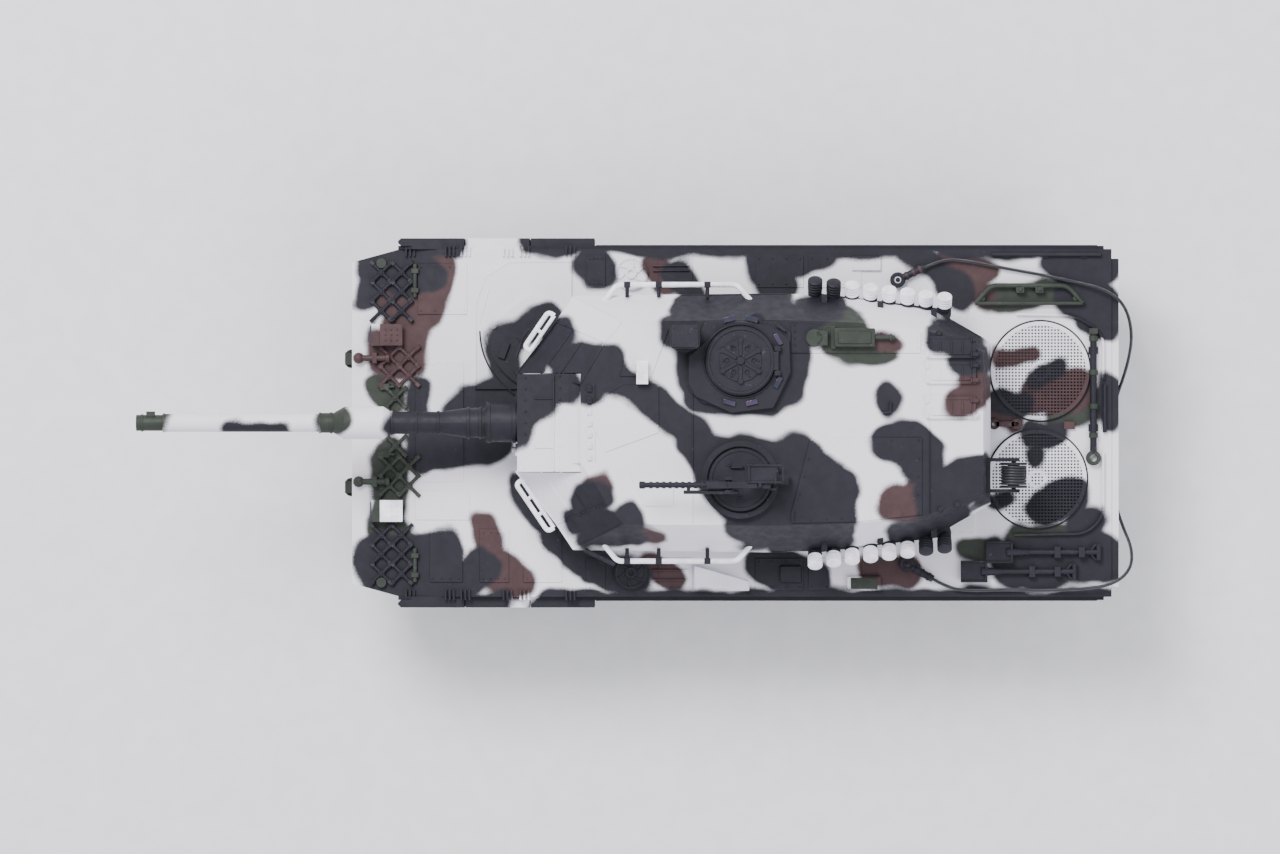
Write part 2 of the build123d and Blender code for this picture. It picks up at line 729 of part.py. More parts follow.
rail_radius = 1.1
rail_z = 92.0
with BuildPart() as turret_rails:
    for side in sides.values():
        with BuildLine() as rail_path:
            FilletPolyline(
                (10.5, side * 50, rail_z), (5, side * 56.8, rail_z),
                (-44, side * 56.8, rail_z), (-50, side * 50, rail_z), radius=4,
            )
        with BuildSketch(rail_path.line ^ 0):
            Circle(rail_radius)
        sweep(path=rail_path.line)
save(turret_rails.part, "turret_rails")

launcher_z = 88.0
launcher_pitch = 7.6
launchers_per_side = 8
launcher_lean = 50.0
launcher_taper = 0.125     # how fast the turret's side draws in toward the rear
rear_launcher_x = -129.5
bank_middle_x = -103.0


def launcher_y(x):
    """How far out a launcher stands, following the side of the turret."""
    return 51.0 + launcher_taper * (x + 76.0)


with BuildPart() as smoke_launchers:
    for side in sides.values():
        bar_turn = side * degrees(atan2(launcher_taper, 1))
        with Locations(Location(
            (bank_middle_x, side * (launcher_y(bank_middle_x) + 0.5), launcher_z), (0, 0, bar_turn)
        )):
            Box(58, 4, 4)
        for index in range(launchers_per_side):
            x = rear_launcher_x + index * launcher_pitch
            tube_plane = Plane(
                origin=(x, side * launcher_y(x), launcher_z - 2), x_dir=(1, 0, 0),
                z_dir=(0, side * sin(radians(launcher_lean)), cos(radians(launcher_lean))),
            )
            with Locations(tube_plane):
                Cylinder(3.1, 10.5, align=standing)
save(smoke_launchers.part, "smoke_launchers")

reel_x, reel_y, reel_z = -157.7, 21.5, 95.0
reel_pin_radius = 1.0
with BuildPart() as reel_bracket:
    with Locations(*[(-152.5, reel_y + dy, reel_z) for dy in (-6.4, 6.4)]):
        Box(15, 1.4, 5)
    with Locations((-146.5, reel_y, reel_z)):
        Box(3, 14.2, 7)
    with Locations(Plane(origin=(reel_x, reel_y, reel_z), z_dir=(0, 1, 0))):
        Cylinder(reel_pin_radius + running_gap, 20, mode=Mode.SUBTRACT)
save(reel_bracket.part, "reel_bracket")

with BuildPart(Plane(origin=(reel_x, reel_y, reel_z), z_dir=(0, 1, 0))) as cable_reel:
    Cylinder(4, 10.4)
    with Locations((0, 0, -4.7), (0, 0, 4.7)):
        Cylinder(5.5, 1)
    Cylinder(reel_pin_radius, 14)
save(cable_reel.part, "cable_reel")

# ---------------------------------------------------------------- hull fittings

with BuildPart() as deck_tools:
    for blade_x, y, handle_x in ((-153, 53.5, -194), (-142.5, 61.5, -184)):
        with Locations((blade_x, y, deck_z + 2)):
            Box(11, 9, 1.6)
        with Locations(Plane(origin=(blade_x - 4, y, deck_z + 2), z_dir=(-1, 0, 0))):
            Cylinder(1.2, blade_x - 4 - handle_x, align=standing)
        with Locations(Plane(origin=(handle_x, y, deck_z + 2), z_dir=(0, 1, 0))):
            Cylinder(1.1, 6.4)
        with Locations((blade_x - 24, y, deck_z + 1)):
            Box(3, 5, 2)

bar_x = -191.9
bar_z = deck_z + 1.7
with BuildPart() as tow_bar:
    with Locations(Plane(origin=(bar_x, -37.7, bar_z), z_dir=(0, 1, 0))):
        Cylinder(1.4, 50, align=standing)
    with Locations((bar_x, 14.5, bar_z)):
        Cylinder(3, 2)
        Cylinder(1.5, 2, mode=Mode.SUBTRACT)
    with Locations(*[(bar_x, y, deck_z + 0.6) for y in (-30, 2)]):
        Box(4, 3, 1.2)
save(Compound(children=[*deck_tools.part.solids(), tow_bar.part.solid()]), "deck_tools")

with BuildPart() as fuel_caps:
    with Locations(*[(-0.6, y, deck_z + 0.9) for y in (-62, 62)]):
        Cylinder(7, 1.8)
save(fuel_caps.part, "fuel_caps")

with BuildPart() as tow_hooks:
    for side in sides.values():
        with Locations(Plane(origin=(nose_x - 6, side * 26.7, 53), z_dir=(1, 0, 0))):
            Cylinder(2, 4, align=standing)
        with Locations((nose_x - 1.6, side * 26.7, 53)):
            Box(3, 5, 7)
save(tow_hooks.part, "tow_hooks")

with BuildPart() as headlamps:
    with Locations(*[(103, y, 63.5) for y in (-36.5, 36.5)]):
        Box(8, 9, 7)
save(headlamps.part, "headlamps")

with BuildPart() as rear_plate:
    with Locations((tub_rear_x - 0.75, 0, 50)):
        Box(1.5, 80, 14)
    with Locations(*[(tub_rear_x - 2.2, y, 46.5) for y in (-24, -8, 8, 24)]):
        Box(1.5, 12, 7)
save(rear_plate.part, "rear_plate")

# ---------------------------------------------------------------- tow cable

cable_radius = 0.7
cable_route = [
    (-122.0, -64.3, 71.9), (-129.5, -67.8, 71.9), (-139.0, -67.2, 71.9), (-153.0, -64.4, 71.8),
    (-169.9, -61.4, 71.8), (-184.5, -58.4, 72.5), (-196.5, -55.4, 74.6), (-205.0, -49.0, 73.4),
    (-208.6, -36.5, 67.0), (-206.5, -22.5, 59.5), (-201.8, -9.0, 54.6), (-200.2, 5.0, 53.0),
    (-200.6, 18.0, 53.2), (-201.4, 31.0, 54.4), (-204.6, 42.5, 59.0), (-208.4, 52.0, 65.5),
    (-207.5, 60.5, 72.2), (-200.5, 66.6, 75.0), (-188.0, 68.9, 73.4), (-171.0, 69.3, 71.9),
    (-155.0, 69.0, 71.8), (-142.0, 69.5, 71.9), (-132.5, 68.6, 71.9), (-125.5, 64.6, 71.9),
]
points = [Vector(*point) for point in cable_route]
cable_radii = []
for before, corner, after in zip(points, points[1:], points[2:]):
    turn = (corner - before).get_angle(after - corner)
    shorter = min((corner - before).length, (after - corner).length)
    cable_radii.append(0.45 * shorter / tan(radians(turn / 2)))
print("tow cable arcs:", [round(radius, 1) for radius in cable_radii])

with BuildPart() as tow_cable:
    with BuildLine() as cable_path:
        FilletPolyline(*points, radius=cable_radii)
    with BuildSketch(cable_path.line ^ 0):
        Circle(cable_radius)
    sweep(path=cable_path.line)
print("tow cable length:", round(cable_path.wires()[0].length, 1))
section_times_length = pi * cable_radius**2 * cable_path.wires()[0].length
print("section times length:", round(section_times_length, 2))
print("tow cable volume:", round(tow_cable.part.volume, 2))
save(tow_cable.part, "tow_cable")

eye_reach = 12.2           # from the cable's end to the middle of the eye
with BuildPart() as cable_eyes:
    for end, inner in ((points[0], points[1]), (points[-1], points[-2])):
        away = (end - inner).normalized()
        with Locations(Plane(origin=end, z_dir=away)):
            Cylinder(1.5, 10, align=standing)
        eye = end + away * eye_reach
        with Locations((eye.X, eye.Y, eye.Z)):
            Cylinder(3.2, 2)
            Cylinder(1.6, 4, mode=Mode.SUBTRACT)
save(cable_eyes.part, "cable_eyes")

with BuildPart() as cable_clips:
    for y, x, z in ((5.0, -200.2, 53.0), (18.0, -200.5, 53.1)):
        with Locations((x, y, z)):
            Box(4.6, 3, 5)
        with Locations(Plane(origin=(x, y, z), z_dir=(0, 1, 0))):
            Cylinder(1.3, 6, mode=Mode.SUBTRACT)
        with Locations(((x + 2 + tub_rear_x - 1.5) / 2, y, z - 1)):
            Box(tub_rear_x - 1.5 - x - 2, 3, 2)
save(cable_clips.part, "cable_clips")
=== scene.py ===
"""Looks of the radio-controlled tank: winter camouflage, fittings, tracks and the tow cable."""
from math import atan, atan2, cos, degrees, hypot, pi, radians, sin, sqrt

import bmesh
import bpy
from mathutils import Matrix, Vector


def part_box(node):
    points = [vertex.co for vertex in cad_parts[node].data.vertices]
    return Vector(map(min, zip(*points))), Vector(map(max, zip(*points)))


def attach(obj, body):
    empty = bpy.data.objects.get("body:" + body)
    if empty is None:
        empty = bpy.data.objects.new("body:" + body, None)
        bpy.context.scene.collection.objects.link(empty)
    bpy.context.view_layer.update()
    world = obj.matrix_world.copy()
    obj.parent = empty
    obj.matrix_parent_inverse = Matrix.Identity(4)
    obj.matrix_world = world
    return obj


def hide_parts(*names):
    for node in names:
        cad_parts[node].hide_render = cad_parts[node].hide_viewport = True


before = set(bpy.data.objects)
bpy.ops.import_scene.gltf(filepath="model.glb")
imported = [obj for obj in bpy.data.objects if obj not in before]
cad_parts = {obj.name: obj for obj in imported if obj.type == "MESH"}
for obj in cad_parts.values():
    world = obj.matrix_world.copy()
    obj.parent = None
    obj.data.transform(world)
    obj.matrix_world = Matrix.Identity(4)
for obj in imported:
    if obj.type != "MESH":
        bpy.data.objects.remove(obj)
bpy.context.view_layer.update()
MM = 0.001


def show(thing):
    """Put an object into the scene."""
    bpy.context.scene.collection.objects.link(thing)


# ---------------------------------------------------------------- camera, light and floor

camera_target = Vector((-4.3, 1.7, 70.0)) * MM
camera_height = 3.0
camera_data = bpy.data.cameras.new("camera")
camera_data.lens = 203.8
camera_data.clip_end = 20
camera = bpy.data.objects.new("camera", camera_data)
camera.location = camera_target + Vector((0, 0, camera_height))
camera.rotation_euler = (0, 0, pi)
show(camera)
bpy.context.scene.camera = camera


def area_light(name, place, aim, size, power, tint):
    """A soft square light aimed at a point."""
    data = bpy.data.lights.new(name, "AREA")
    data.size = size
    data.energy = power
    data.color = tint
    light = bpy.data.objects.new(name, data)
    light.location = place
    light.rotation_euler = (Vector(aim) - Vector(place)).to_track_quat("-Z", "Y").to_euler()
    show(light)


area_light("key_light", (0.5, -0.9, 1.5), (0, 0, 0.05), 0.7, 36, (1.0, 0.99, 1.0))
area_light("fill_light", (-0.9, 0.9, 1.3), (0, 0, 0.05), 1.2, 14, (0.96, 0.96, 1.0))
world = bpy.data.worlds.new("world")
world.use_nodes = True
world.node_tree.nodes["Background"].inputs["Color"].default_value = (0.93, 0.93, 1.0, 1)
world.node_tree.nodes["Background"].inputs["Strength"].default_value = 1.0
bpy.context.scene.world = world

# ---------------------------------------------------------------- the tow cable's line

cable_route = [
    (-122.0, -64.3, 71.9), (-129.5, -67.8, 71.9), (-139.0, -67.2, 71.9), (-153.0, -64.4, 71.8),
    (-169.9, -61.4, 71.8), (-184.5, -58.4, 72.5), (-196.5, -55.4, 74.6), (-205.0, -49.0, 73.4),
    (-208.6, -36.5, 67.0), (-206.5, -22.5, 59.5), (-201.8, -9.0, 54.6), (-200.2, 5.0, 53.0),
    (-200.6, 18.0, 53.2), (-201.4, 31.0, 54.4), (-204.6, 42.5, 59.0), (-208.4, 52.0, 65.5),
    (-207.5, 60.5, 72.2), (-200.5, 66.6, 75.0), (-188.0, 68.9, 73.4), (-171.0, 69.3, 71.9),
    (-155.0, 69.0, 71.8), (-142.0, 69.5, 71.9), (-132.5, 68.6, 71.9), (-125.5, 64.6, 71.9),
]
cable_radius = 0.7


def smooth_line(points):
    """Points along the smooth curve that has the given control points, in metres."""
    curve = bpy.data.curves.new("line", "CURVE")
    curve.dimensions = "3D"
    spline = curve.splines.new("NURBS")
    spline.points.add(len(points) - 1)
    for target, point in zip(spline.points, points):
        target.co = (*(Vector(point) * MM), 1)
    spline.order_u = 3
    spline.use_endpoint_u = True
    spline.resolution_u = 12
    holder = bpy.data.objects.new("line", curve)
    show(holder)
    mesh = bpy.data.meshes.new_from_object(holder)
    line = [vertex.co.copy() for vertex in mesh.vertices]
    bpy.data.objects.remove(holder)
    bpy.data.curves.remove(curve)
    bpy.data.meshes.remove(mesh)
    return line


def line_length(line):
    """Length of a line of points."""
    return sum((b - a).length for a, b in zip(line, line[1:]))


cable_line = smooth_line(cable_route)

# ---------------------------------------------------------------- material tools


class Nodes:
    """Short calls for building one material's node tree."""

    def __init__(self, name):
        self.material = bpy.data.materials.new(name)
        self.material.use_nodes = True
        self.tree = self.material.node_tree
        self.shader = self.tree.nodes["Principled BSDF"]
        self.shader.inputs["Specular IOR Level"].default_value = 0.28
        self.place = self.add("ShaderNodeTexCoord").outputs["Object"]

    def add(self, kind, **settings):
        """Add a node and set its properties."""
        node = self.tree.nodes.new(kind)
        for key, value in settings.items():
            setattr(node, key, value)
        return node

    def plug(self, socket, value):
        """Link a socket to an input, or set the input's value."""
        if isinstance(value, bpy.types.NodeSocket):
            self.tree.links.new(value, socket)
        else:
            socket.default_value = value

    def math(self, operation, *values):
        """A math node's result."""
        node = self.add("ShaderNodeMath", operation=operation)
        for socket, value in zip(node.inputs, values):
            self.plug(socket, value)
        return node.outputs[0]

    def vector(self, operation, first, second):
        """A vector math node's result."""
        node = self.add("ShaderNodeVectorMath", operation=operation)
        self.plug(node.inputs[0], first)
        self.plug(node.inputs[1], second)
        return node.outputs[0]

    def noise(self, scale, detail=3.0, roughness=0.5, place=None, colour=False):
        """A noise texture's value or colour."""
        node = self.add("ShaderNodeTexNoise")
        self.plug(node.inputs["Vector"], place or self.place)
        node.inputs["Scale"].default_value = scale
        node.inputs["Detail"].default_value = detail
        node.inputs["Roughness"].default_value = roughness
        return node.outputs["Color" if colour else "Fac"]

    def spread(self, value, low, high, new_low=0.0, new_high=1.0):
        """Map a value smoothly from one range to another."""
        node = self.add("ShaderNodeMapRange", interpolation_type="SMOOTHSTEP")
        for socket, item in zip(node.inputs, (value, low, high, new_low, new_high)):
            self.plug(socket, item)
        return node.outputs[0]

    def mix(self, amount, first, second):
        """Mix two colours."""
        node = self.add("ShaderNodeMix", data_type="RGBA")
        self.plug(node.inputs[0], amount)
        for socket, value in ((node.inputs[6], first), (node.inputs[7], second)):
            self.plug(socket, (*value, 1) if isinstance(value, tuple) else value)
        return node.outputs[2]

    def bump(self, height, strength, distance=0.0002):
        """Raise the surface by a height value."""
        node = self.add("ShaderNodeBump")
        node.inputs["Strength"].default_value = strength
        node.inputs["Distance"].default_value = distance
        self.plug(node.inputs["Height"], height)
        self.plug(self.shader.inputs["Normal"], node.outputs[0])

    def finish(self, colour, rough):
        """Connect the colour and roughness."""
        self.plug(self.shader.inputs["Base Color"], colour)
        self.plug(self.shader.inputs["Roughness"], rough)
        return self.material


def patch_group():
    """A node group that gives the distance from a capsule seen from above."""
    group = bpy.data.node_groups.new("patch", "ShaderNodeTree")
    for name, kind in (("Point", "Vector"), ("Start", "Vector"), ("End", "Vector"), ("Radius", "Float")):
        group.interface.new_socket(name, in_out="INPUT", socket_type=f"NodeSocket{kind}")
    group.interface.new_socket("Distance", in_out="OUTPUT", socket_type="NodeSocketFloat")
    source = group.nodes.new("NodeGroupInput")
    target = group.nodes.new("NodeGroupOutput")

    def step(kind, operation, *sources):
        """A vector or number node of the group, fed by other sockets."""
        node = group.nodes.new(kind)
        node.operation = operation
        for source_socket, socket in zip(sources, node.inputs):
            group.links.new(source_socket, socket)
        return node

    def vector(operation, *sources):
        return step("ShaderNodeVectorMath", operation, *sources)

    offset = vector("SUBTRACT", source.outputs["Point"], source.outputs["Start"]).outputs[0]
    span = vector("SUBTRACT", source.outputs["End"], source.outputs["Start"]).outputs[0]
    along = vector("DOT_PRODUCT", offset, span).outputs["Value"]
    whole = vector("DOT_PRODUCT", span, span).outputs["Value"]
    share = step("ShaderNodeMath", "DIVIDE", along, whole)
    share.use_clamp = True
    reach = vector("SCALE", span)
    group.links.new(share.outputs[0], reach.inputs["Scale"])
    away = vector("SUBTRACT", offset, reach.outputs[0]).outputs[0]
    length = vector("LENGTH", away).outputs["Value"]
    distance = step("ShaderNodeMath", "SUBTRACT", length, source.outputs["Radius"]).outputs[0]
    group.links.new(distance, target.inputs["Distance"])
    return group


patch = patch_group()
WHITE = (0.83, 0.82, 0.88)
DARK = (0.011, 0.0105, 0.0165)
BROWN = (0.048, 0.025, 0.027)
GREEN = (0.024, 0.030, 0.023)


def patches_distance(n, point, patches):
    """Distance from the nearest of several patches, each (x, y, x, y, radius) in millimetres."""
    nearest = None
    for x0, y0, x1, y1, radius in patches:
        node = n.add("ShaderNodeGroup", node_tree=patch)
        node.inputs["Start"].default_value = (x0 * MM, y0 * MM, 0)
        node.inputs["End"].default_value = (x1 * MM + 1e-5, y1 * MM, 0)
        node.inputs["Radius"].default_value = radius * MM
        if nearest is None:
            n.plug(node.inputs["Point"], point)
            nearest = node.outputs[0]
        else:
            # a trace of the last distance makes the patches run one after another, so many fit
            chained = n.add("ShaderNodeVectorMath", operation="MULTIPLY_ADD")
            n.plug(chained.inputs[0], nearest)
            chained.inputs[1].default_value = (1e-6, 1e-6, 0)
            n.plug(chained.inputs[2], point)
            n.plug(node.inputs["Point"], chained.outputs[0])
            nearest = n.math("SMOOTH_MIN", nearest, node.outputs[0], 0.003)
    return nearest


edge_sway = 0.012          # how far, in metres, the patches' edges wander


def camouflage(name, dark, brown, green):
    """Airbrushed camouflage: soft-edged patches over white, with a fine sprayed grain."""
    n = Nodes(name)
    flat = n.vector("MULTIPLY", n.place, (1, 1, 0))
    wander = n.vector("SUBTRACT", n.noise(45, 2, colour=True), (0.5, 0.5, 0.5))
    sway = n.vector("MULTIPLY", wander, (edge_sway, edge_sway, 0))
    point = n.vector("ADD", flat, sway)
    spray = n.math("MULTIPLY", n.math("SUBTRACT", n.noise(2600, 1), 0.5), 0.0016)
    grime = n.spread(n.noise(120, 6, 0.65), 0.35, 0.75)
    colour = n.mix(n.math("MULTIPLY", grime, 0.10), WHITE, (0.52, 0.51, 0.56))
    for patches, tone in ((green, GREEN), (brown, BROWN), (dark, DARK)):
        distance = n.math("ADD", patches_distance(n, point, patches), spray)
        cover = n.spread(distance, 0.0017, -0.0010)
        mottle = n.spread(n.noise(160, 5, 0.6), 0.3, 0.75)
        mottled = n.mix(mottle, tone, tuple(c * 1.35 for c in tone))
        colour = n.mix(cover, colour, mottled)
    scuff = n.spread(n.noise(700, 8, 0.7), 0.66, 0.74)
    colour = n.mix(n.math("MULTIPLY", scuff, 0.35), colour, (0.36, 0.35, 0.38))
    n.bump(n.noise(1500, 4, 0.6), 0.12)
    rough = n.spread(n.noise(300, 4), 0.2, 0.8, 0.48, 0.66)
    return n.finish(colour, rough)


def worn_paint(name, tone, worn, rough=0.55, scale=500):
    """One sprayed colour with lighter rubbed spots and a fine grain."""
    n = Nodes(name)
    mottle = n.spread(n.noise(scale * 0.3, 5, 0.6), 0.3, 0.75)
    base = n.mix(mottle, tone, tuple(c * 1.5 for c in tone))
    rub = n.spread(n.noise(scale, 8, 0.7), 0.60, 0.72)
    colour = n.mix(n.math("MULTIPLY", rub, 0.55), base, worn)
    n.bump(n.noise(scale * 2, 4, 0.6), 0.15)
    return n.finish(colour, n.spread(n.noise(scale, 3), 0.2, 0.8, rough - 0.08, rough + 0.1))


def metal(name, tone, rough=0.32):
    """Bare metal with a fine brushed grain."""
    n = Nodes(name)
    n.shader.inputs["Metallic"].default_value = 1.0
    grain = n.noise(1.5, 4, place=n.vector("MULTIPLY", n.place, (60, 900, 900)))
    colour = n.mix(n.spread(grain, 0.3, 0.7), tone, tuple(c * 0.7 for c in tone))
    n.bump(grain, 0.08, 0.0001)
    return n.finish(colour, n.spread(grain, 0.2, 0.8, rough - 0.07, rough + 0.12))


def rubber(name, tone, dust=(0.17, 0.16, 0.16)):
    """Matt rubber with dust in its grain."""
    n = Nodes(name)
    dusty = n.spread(n.noise(260, 6, 0.7), 0.5, 0.72)
    colour = n.mix(n.math("MULTIPLY", dusty, 0.5), tone, dust)
    n.bump(n.noise(1800, 5, 0.65), 0.3)
    return n.finish(colour, n.spread(n.noise(400, 3), 0.2, 0.8, 0.68, 0.85))

# ---------------------------------------------------------------- camouflage patches, in millimetres

hull_dark = [
    (104, -66, 92, -66, 10), (109, -50, 108, -62, 5), (92, -58, 86, -61, 8), (110, -76, 74, -76, 5.5),
    (36, -78, -200, -78, 9), (34, -42, 52, -33, 7), (54, -30, 50, -18, 7),
    (70, -3, 58, -11, 8), (56, -10, 44, -12, 7),
    (88, -15, 88, 4, 4), (84, 10, 58, 8, 10), (104, 58, 90, 60, 13), (79, 54, 79, 66, 9),
    (62, 60, 68, 66, 8), (102, 76, 54, 76, 6), (32, 78, -200, 78, 9), (47, 26, 34, 44, 4),
    (32, 48, 22, 56, 6), (14, 58, 0, 63, 8), (-56, 58, -74, 64, 9), (-160, 58, -196, 56, 11),
    (17, -66, 12, -60, 6), (-20, -63, -26, -54, 5), (-56, -67, -60, -58, 9), (-66, -67, -80, -70, 5),
    (-116, -70, -128, -63, 5), (-132, -58, -138, -53, 6), (-178, -67, -196, -63, 8),
    (-183, -52, -196, -48, 9), (-190, -42, -200, -40, 5), (-197, -15, -200, -2, 5),
    (-152, -10, -161, -8, 6), (-168, -18, -176, -23, 4), (-167, 4, -176, 5, 5),
    (-169, 12, -169, 14, 4), (-172, 35, -182, 30, 8), (-186, 41, -192, 41, 6), (-152, 33, -157, 31, 3),
]
hull_brown = [
    (81, -67, 85, -46, 8), (91, -44, 94, -26, 9), (104, -34, 102, -24, 5), (60, 42, 58, 50, 6),
    (57, 58, 48, 66, 8), (-10, 58, -18, 64, 6), (-102, 62, -114, 63, 6), (-12, -66, -16, -58, 6),
    (-134, -66, -148, -63, 6), (-140, -57, -148, -53, 5), (-151, -4, -159, 0, 4),
    (-152, -28, -165, -29, 3.5), (-170, -12, -182, -13, 9), (98, -48, 102, -52, 5),
]
hull_green = [
    (102, -14, 98, -10, 6), (100, 14, 98, 34, 8), (100, 42, 96, 50, 8), (-140, 52, -150, 51, 5),
    (-160, 48, -192, 46, 5), (-150, -52, -188, -56, 5), (-178, -3, -194, -8, 6),
]
turret_dark = [
    # the first patch, on the sloping front of the right cheek, is partly dark paint and partly painted
    # shade on that slope
    (43, -24, 30, -38, 8), (26, -27, 10, -22, 8), (10, -20, -8, -10, 6.5), (-10, -8, -24, 4, 7),
    (-26, 6, -36, 16, 8), (26, -17, 16, -15, 6), (-25, -47, -62, -48, 8), (-20, -37, -32, -34, 8),
    (-34, -24, -58, -24, 16), (-60, -40, -82, -48, 8), (-66, -30, -66, -14, 8), (-30, -10, -58, -9, 7),
    (-45, 22, -48, 25, 17), (-36, 14, -62, 16, 9), (-68, 17, -82, 28, 12), (-62, 36, -82, 38, 12),
    (-44, 42, -52, 46, 7), (-60, 49, -88, 50, 5), (-106, -10, -107, -8, 5.5), (-106, 8, -116, 8, 8.5),
    (-112, 12, -117, 16, 7), (-122, 10, -122, 36, 6), (-132, 26, -144, 22, 10), (-128, 41, -135, 36, 6),
    (-111, 45, -124, 46, 5), (-128, -37, -140, -32, 7), (-136, -24, -146, -26, 5), (20, 33, 14, 31, 6),
    (22, 41, 4, 42, 6), (18, 49, -4, 49, 3.5), (2, 37, 0, 42, 5),
]
turret_brown = [
    (-87, 32, -86, 47, 5), (-110, 32, -120, 34, 8), (-118, 26, -122, 28, 6), (-139, -18, -146, -16, 6),
    (-135, -8, -140, -10, 6), (-2, 45, -11, 47, 3.5), (12, 26, 16, 27, 3.5), (-104, -34, -108, -34, 4),
]
turret_green = [(-76, -39, -90, -37, 9), (-84, -30, -104, -29, 5), (-54, -53, -66, -54, 3)]
gun_dark = [
    (91, 0, 50, 0, 9), (42, -14, 27, -16, 8), (46, 2, 37, -8, 7), (161, 3, 141, 2, 3.5),
]
gun_green = [(119, 0, 122, 0, 6), (196, 0, 204, 0, 6)]

hull_camo = camouflage("hull_camouflage", hull_dark, hull_brown, hull_green)
turret_camo = camouflage("turret_camouflage", turret_dark, turret_brown, turret_green)
gun_camo = camouflage("gun_camouflage", gun_dark, [(68, 3, 74, 4, 2)], gun_green)
dark_paint = worn_paint("dark_paint", DARK, (0.12, 0.12, 0.135))
white_paint = worn_paint("white_paint", (0.78, 0.77, 0.84), (0.45, 0.44, 0.48))
green_paint = worn_paint("green_paint", GREEN, (0.14, 0.16, 0.13))
brown_paint = worn_paint("brown_paint", BROWN, (0.18, 0.13, 0.13))
black_plastic = worn_paint("black_plastic", (0.022, 0.022, 0.026), (0.08, 0.08, 0.09), 0.45)
track_rubber = rubber("track_rubber", (0.028, 0.028, 0.031))
tyre_rubber = rubber("tyre_rubber", (0.020, 0.020, 0.022))
steel = metal("steel", (0.42, 0.42, 0.44))
wire_steel = metal("wire_steel", (0.10, 0.10, 0.11), 0.42)
brass = metal("gear_brass", (0.72, 0.52, 0.24), 0.28)
motor_metal = metal("motor_metal", (0.50, 0.50, 0.53), 0.35)
board_green = worn_paint("board_green", (0.02, 0.16, 0.07), (0.08, 0.30, 0.14), 0.3)
battery_blue = worn_paint("battery_blue", (0.03, 0.08, 0.32), (0.10, 0.18, 0.45), 0.3)


def lens_glass():
    """Dark coated glass for lamps and sights."""
    n = Nodes("lens_glass")
    swirl = n.noise(90, 3)
    colour = n.mix(n.spread(swirl, 0.35, 0.7), (0.012, 0.018, 0.030), (0.05, 0.03, 0.07))
    n.shader.inputs["Coat Weight"].default_value = 0.6
    return n.finish(colour, n.spread(swirl, 0.2, 0.8, 0.05, 0.12))


glass = lens_glass()

node_materials = (
    (hull_camo, "lower_hull upper_hull driver_hatch side_skirts skirt_blocks fuel_caps"),
    (hull_camo, "headlamps rear_plate"),
    (turret_camo, "turret_shell cheek_armour roof_fittings hatch_rings"),
    (gun_camo, "mantlet gun_barrel"),
    (dark_paint, "deck_tools swing_arms cable_clips cable_eyes reel_bracket"),
    (dark_paint, "commander_hatch loader_hatch panoramic_sight mg_mount machine_gun"),
    (dark_paint, "sprocket_left sprocket_right idler_left idler_right"),
    (dark_paint, " ".join(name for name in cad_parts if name.startswith("road_wheel"))),
    (green_paint, "tow_hooks"),
    (white_paint, "turret_rails"),
    (black_plastic, "battery_door power_switch turret_ring"),
    (battery_blue, "battery_pack"),
    (board_green, "control_board"),
    (motor_metal, "drive_units traverse_motor"),
    (brass, "traverse_pinion motor_pinion_left motor_pinion_right"),
)
for material, node_names in node_materials:
    for node_name in node_names.split():
        node_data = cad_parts[node_name].data
        node_data.materials.clear()
        node_data.materials.append(material)

# ---------------------------------------------------------------- mesh tools


def polar(centre, radius, angle):
    """A place on a circle about a centre, at an angle in degrees."""
    turn = radians(angle)
    return centre[0] + radius * cos(turn), centre[1] + radius * sin(turn)


def facing(direction):
    """The turn that points Z along a direction."""
    return Vector(direction).to_track_quat("Z", "Y").to_matrix().to_4x4()


def rounded_path(points, radius, steps=5):
    """A line of points with its corners rounded, for bent rod and pipe."""
    points = [Vector(point) for point in points]
    line = [points[0]]
    for before, corner, after in zip(points, points[1:], points[2:]):
        start = corner + (before - corner).normalized() * radius
        end = corner + (after - corner).normalized() * radius
        for k in range(steps + 1):
            t = k / steps
            line.append(start.lerp(corner, t).lerp(corner.lerp(end, t), t))
    return line + [points[-1]]


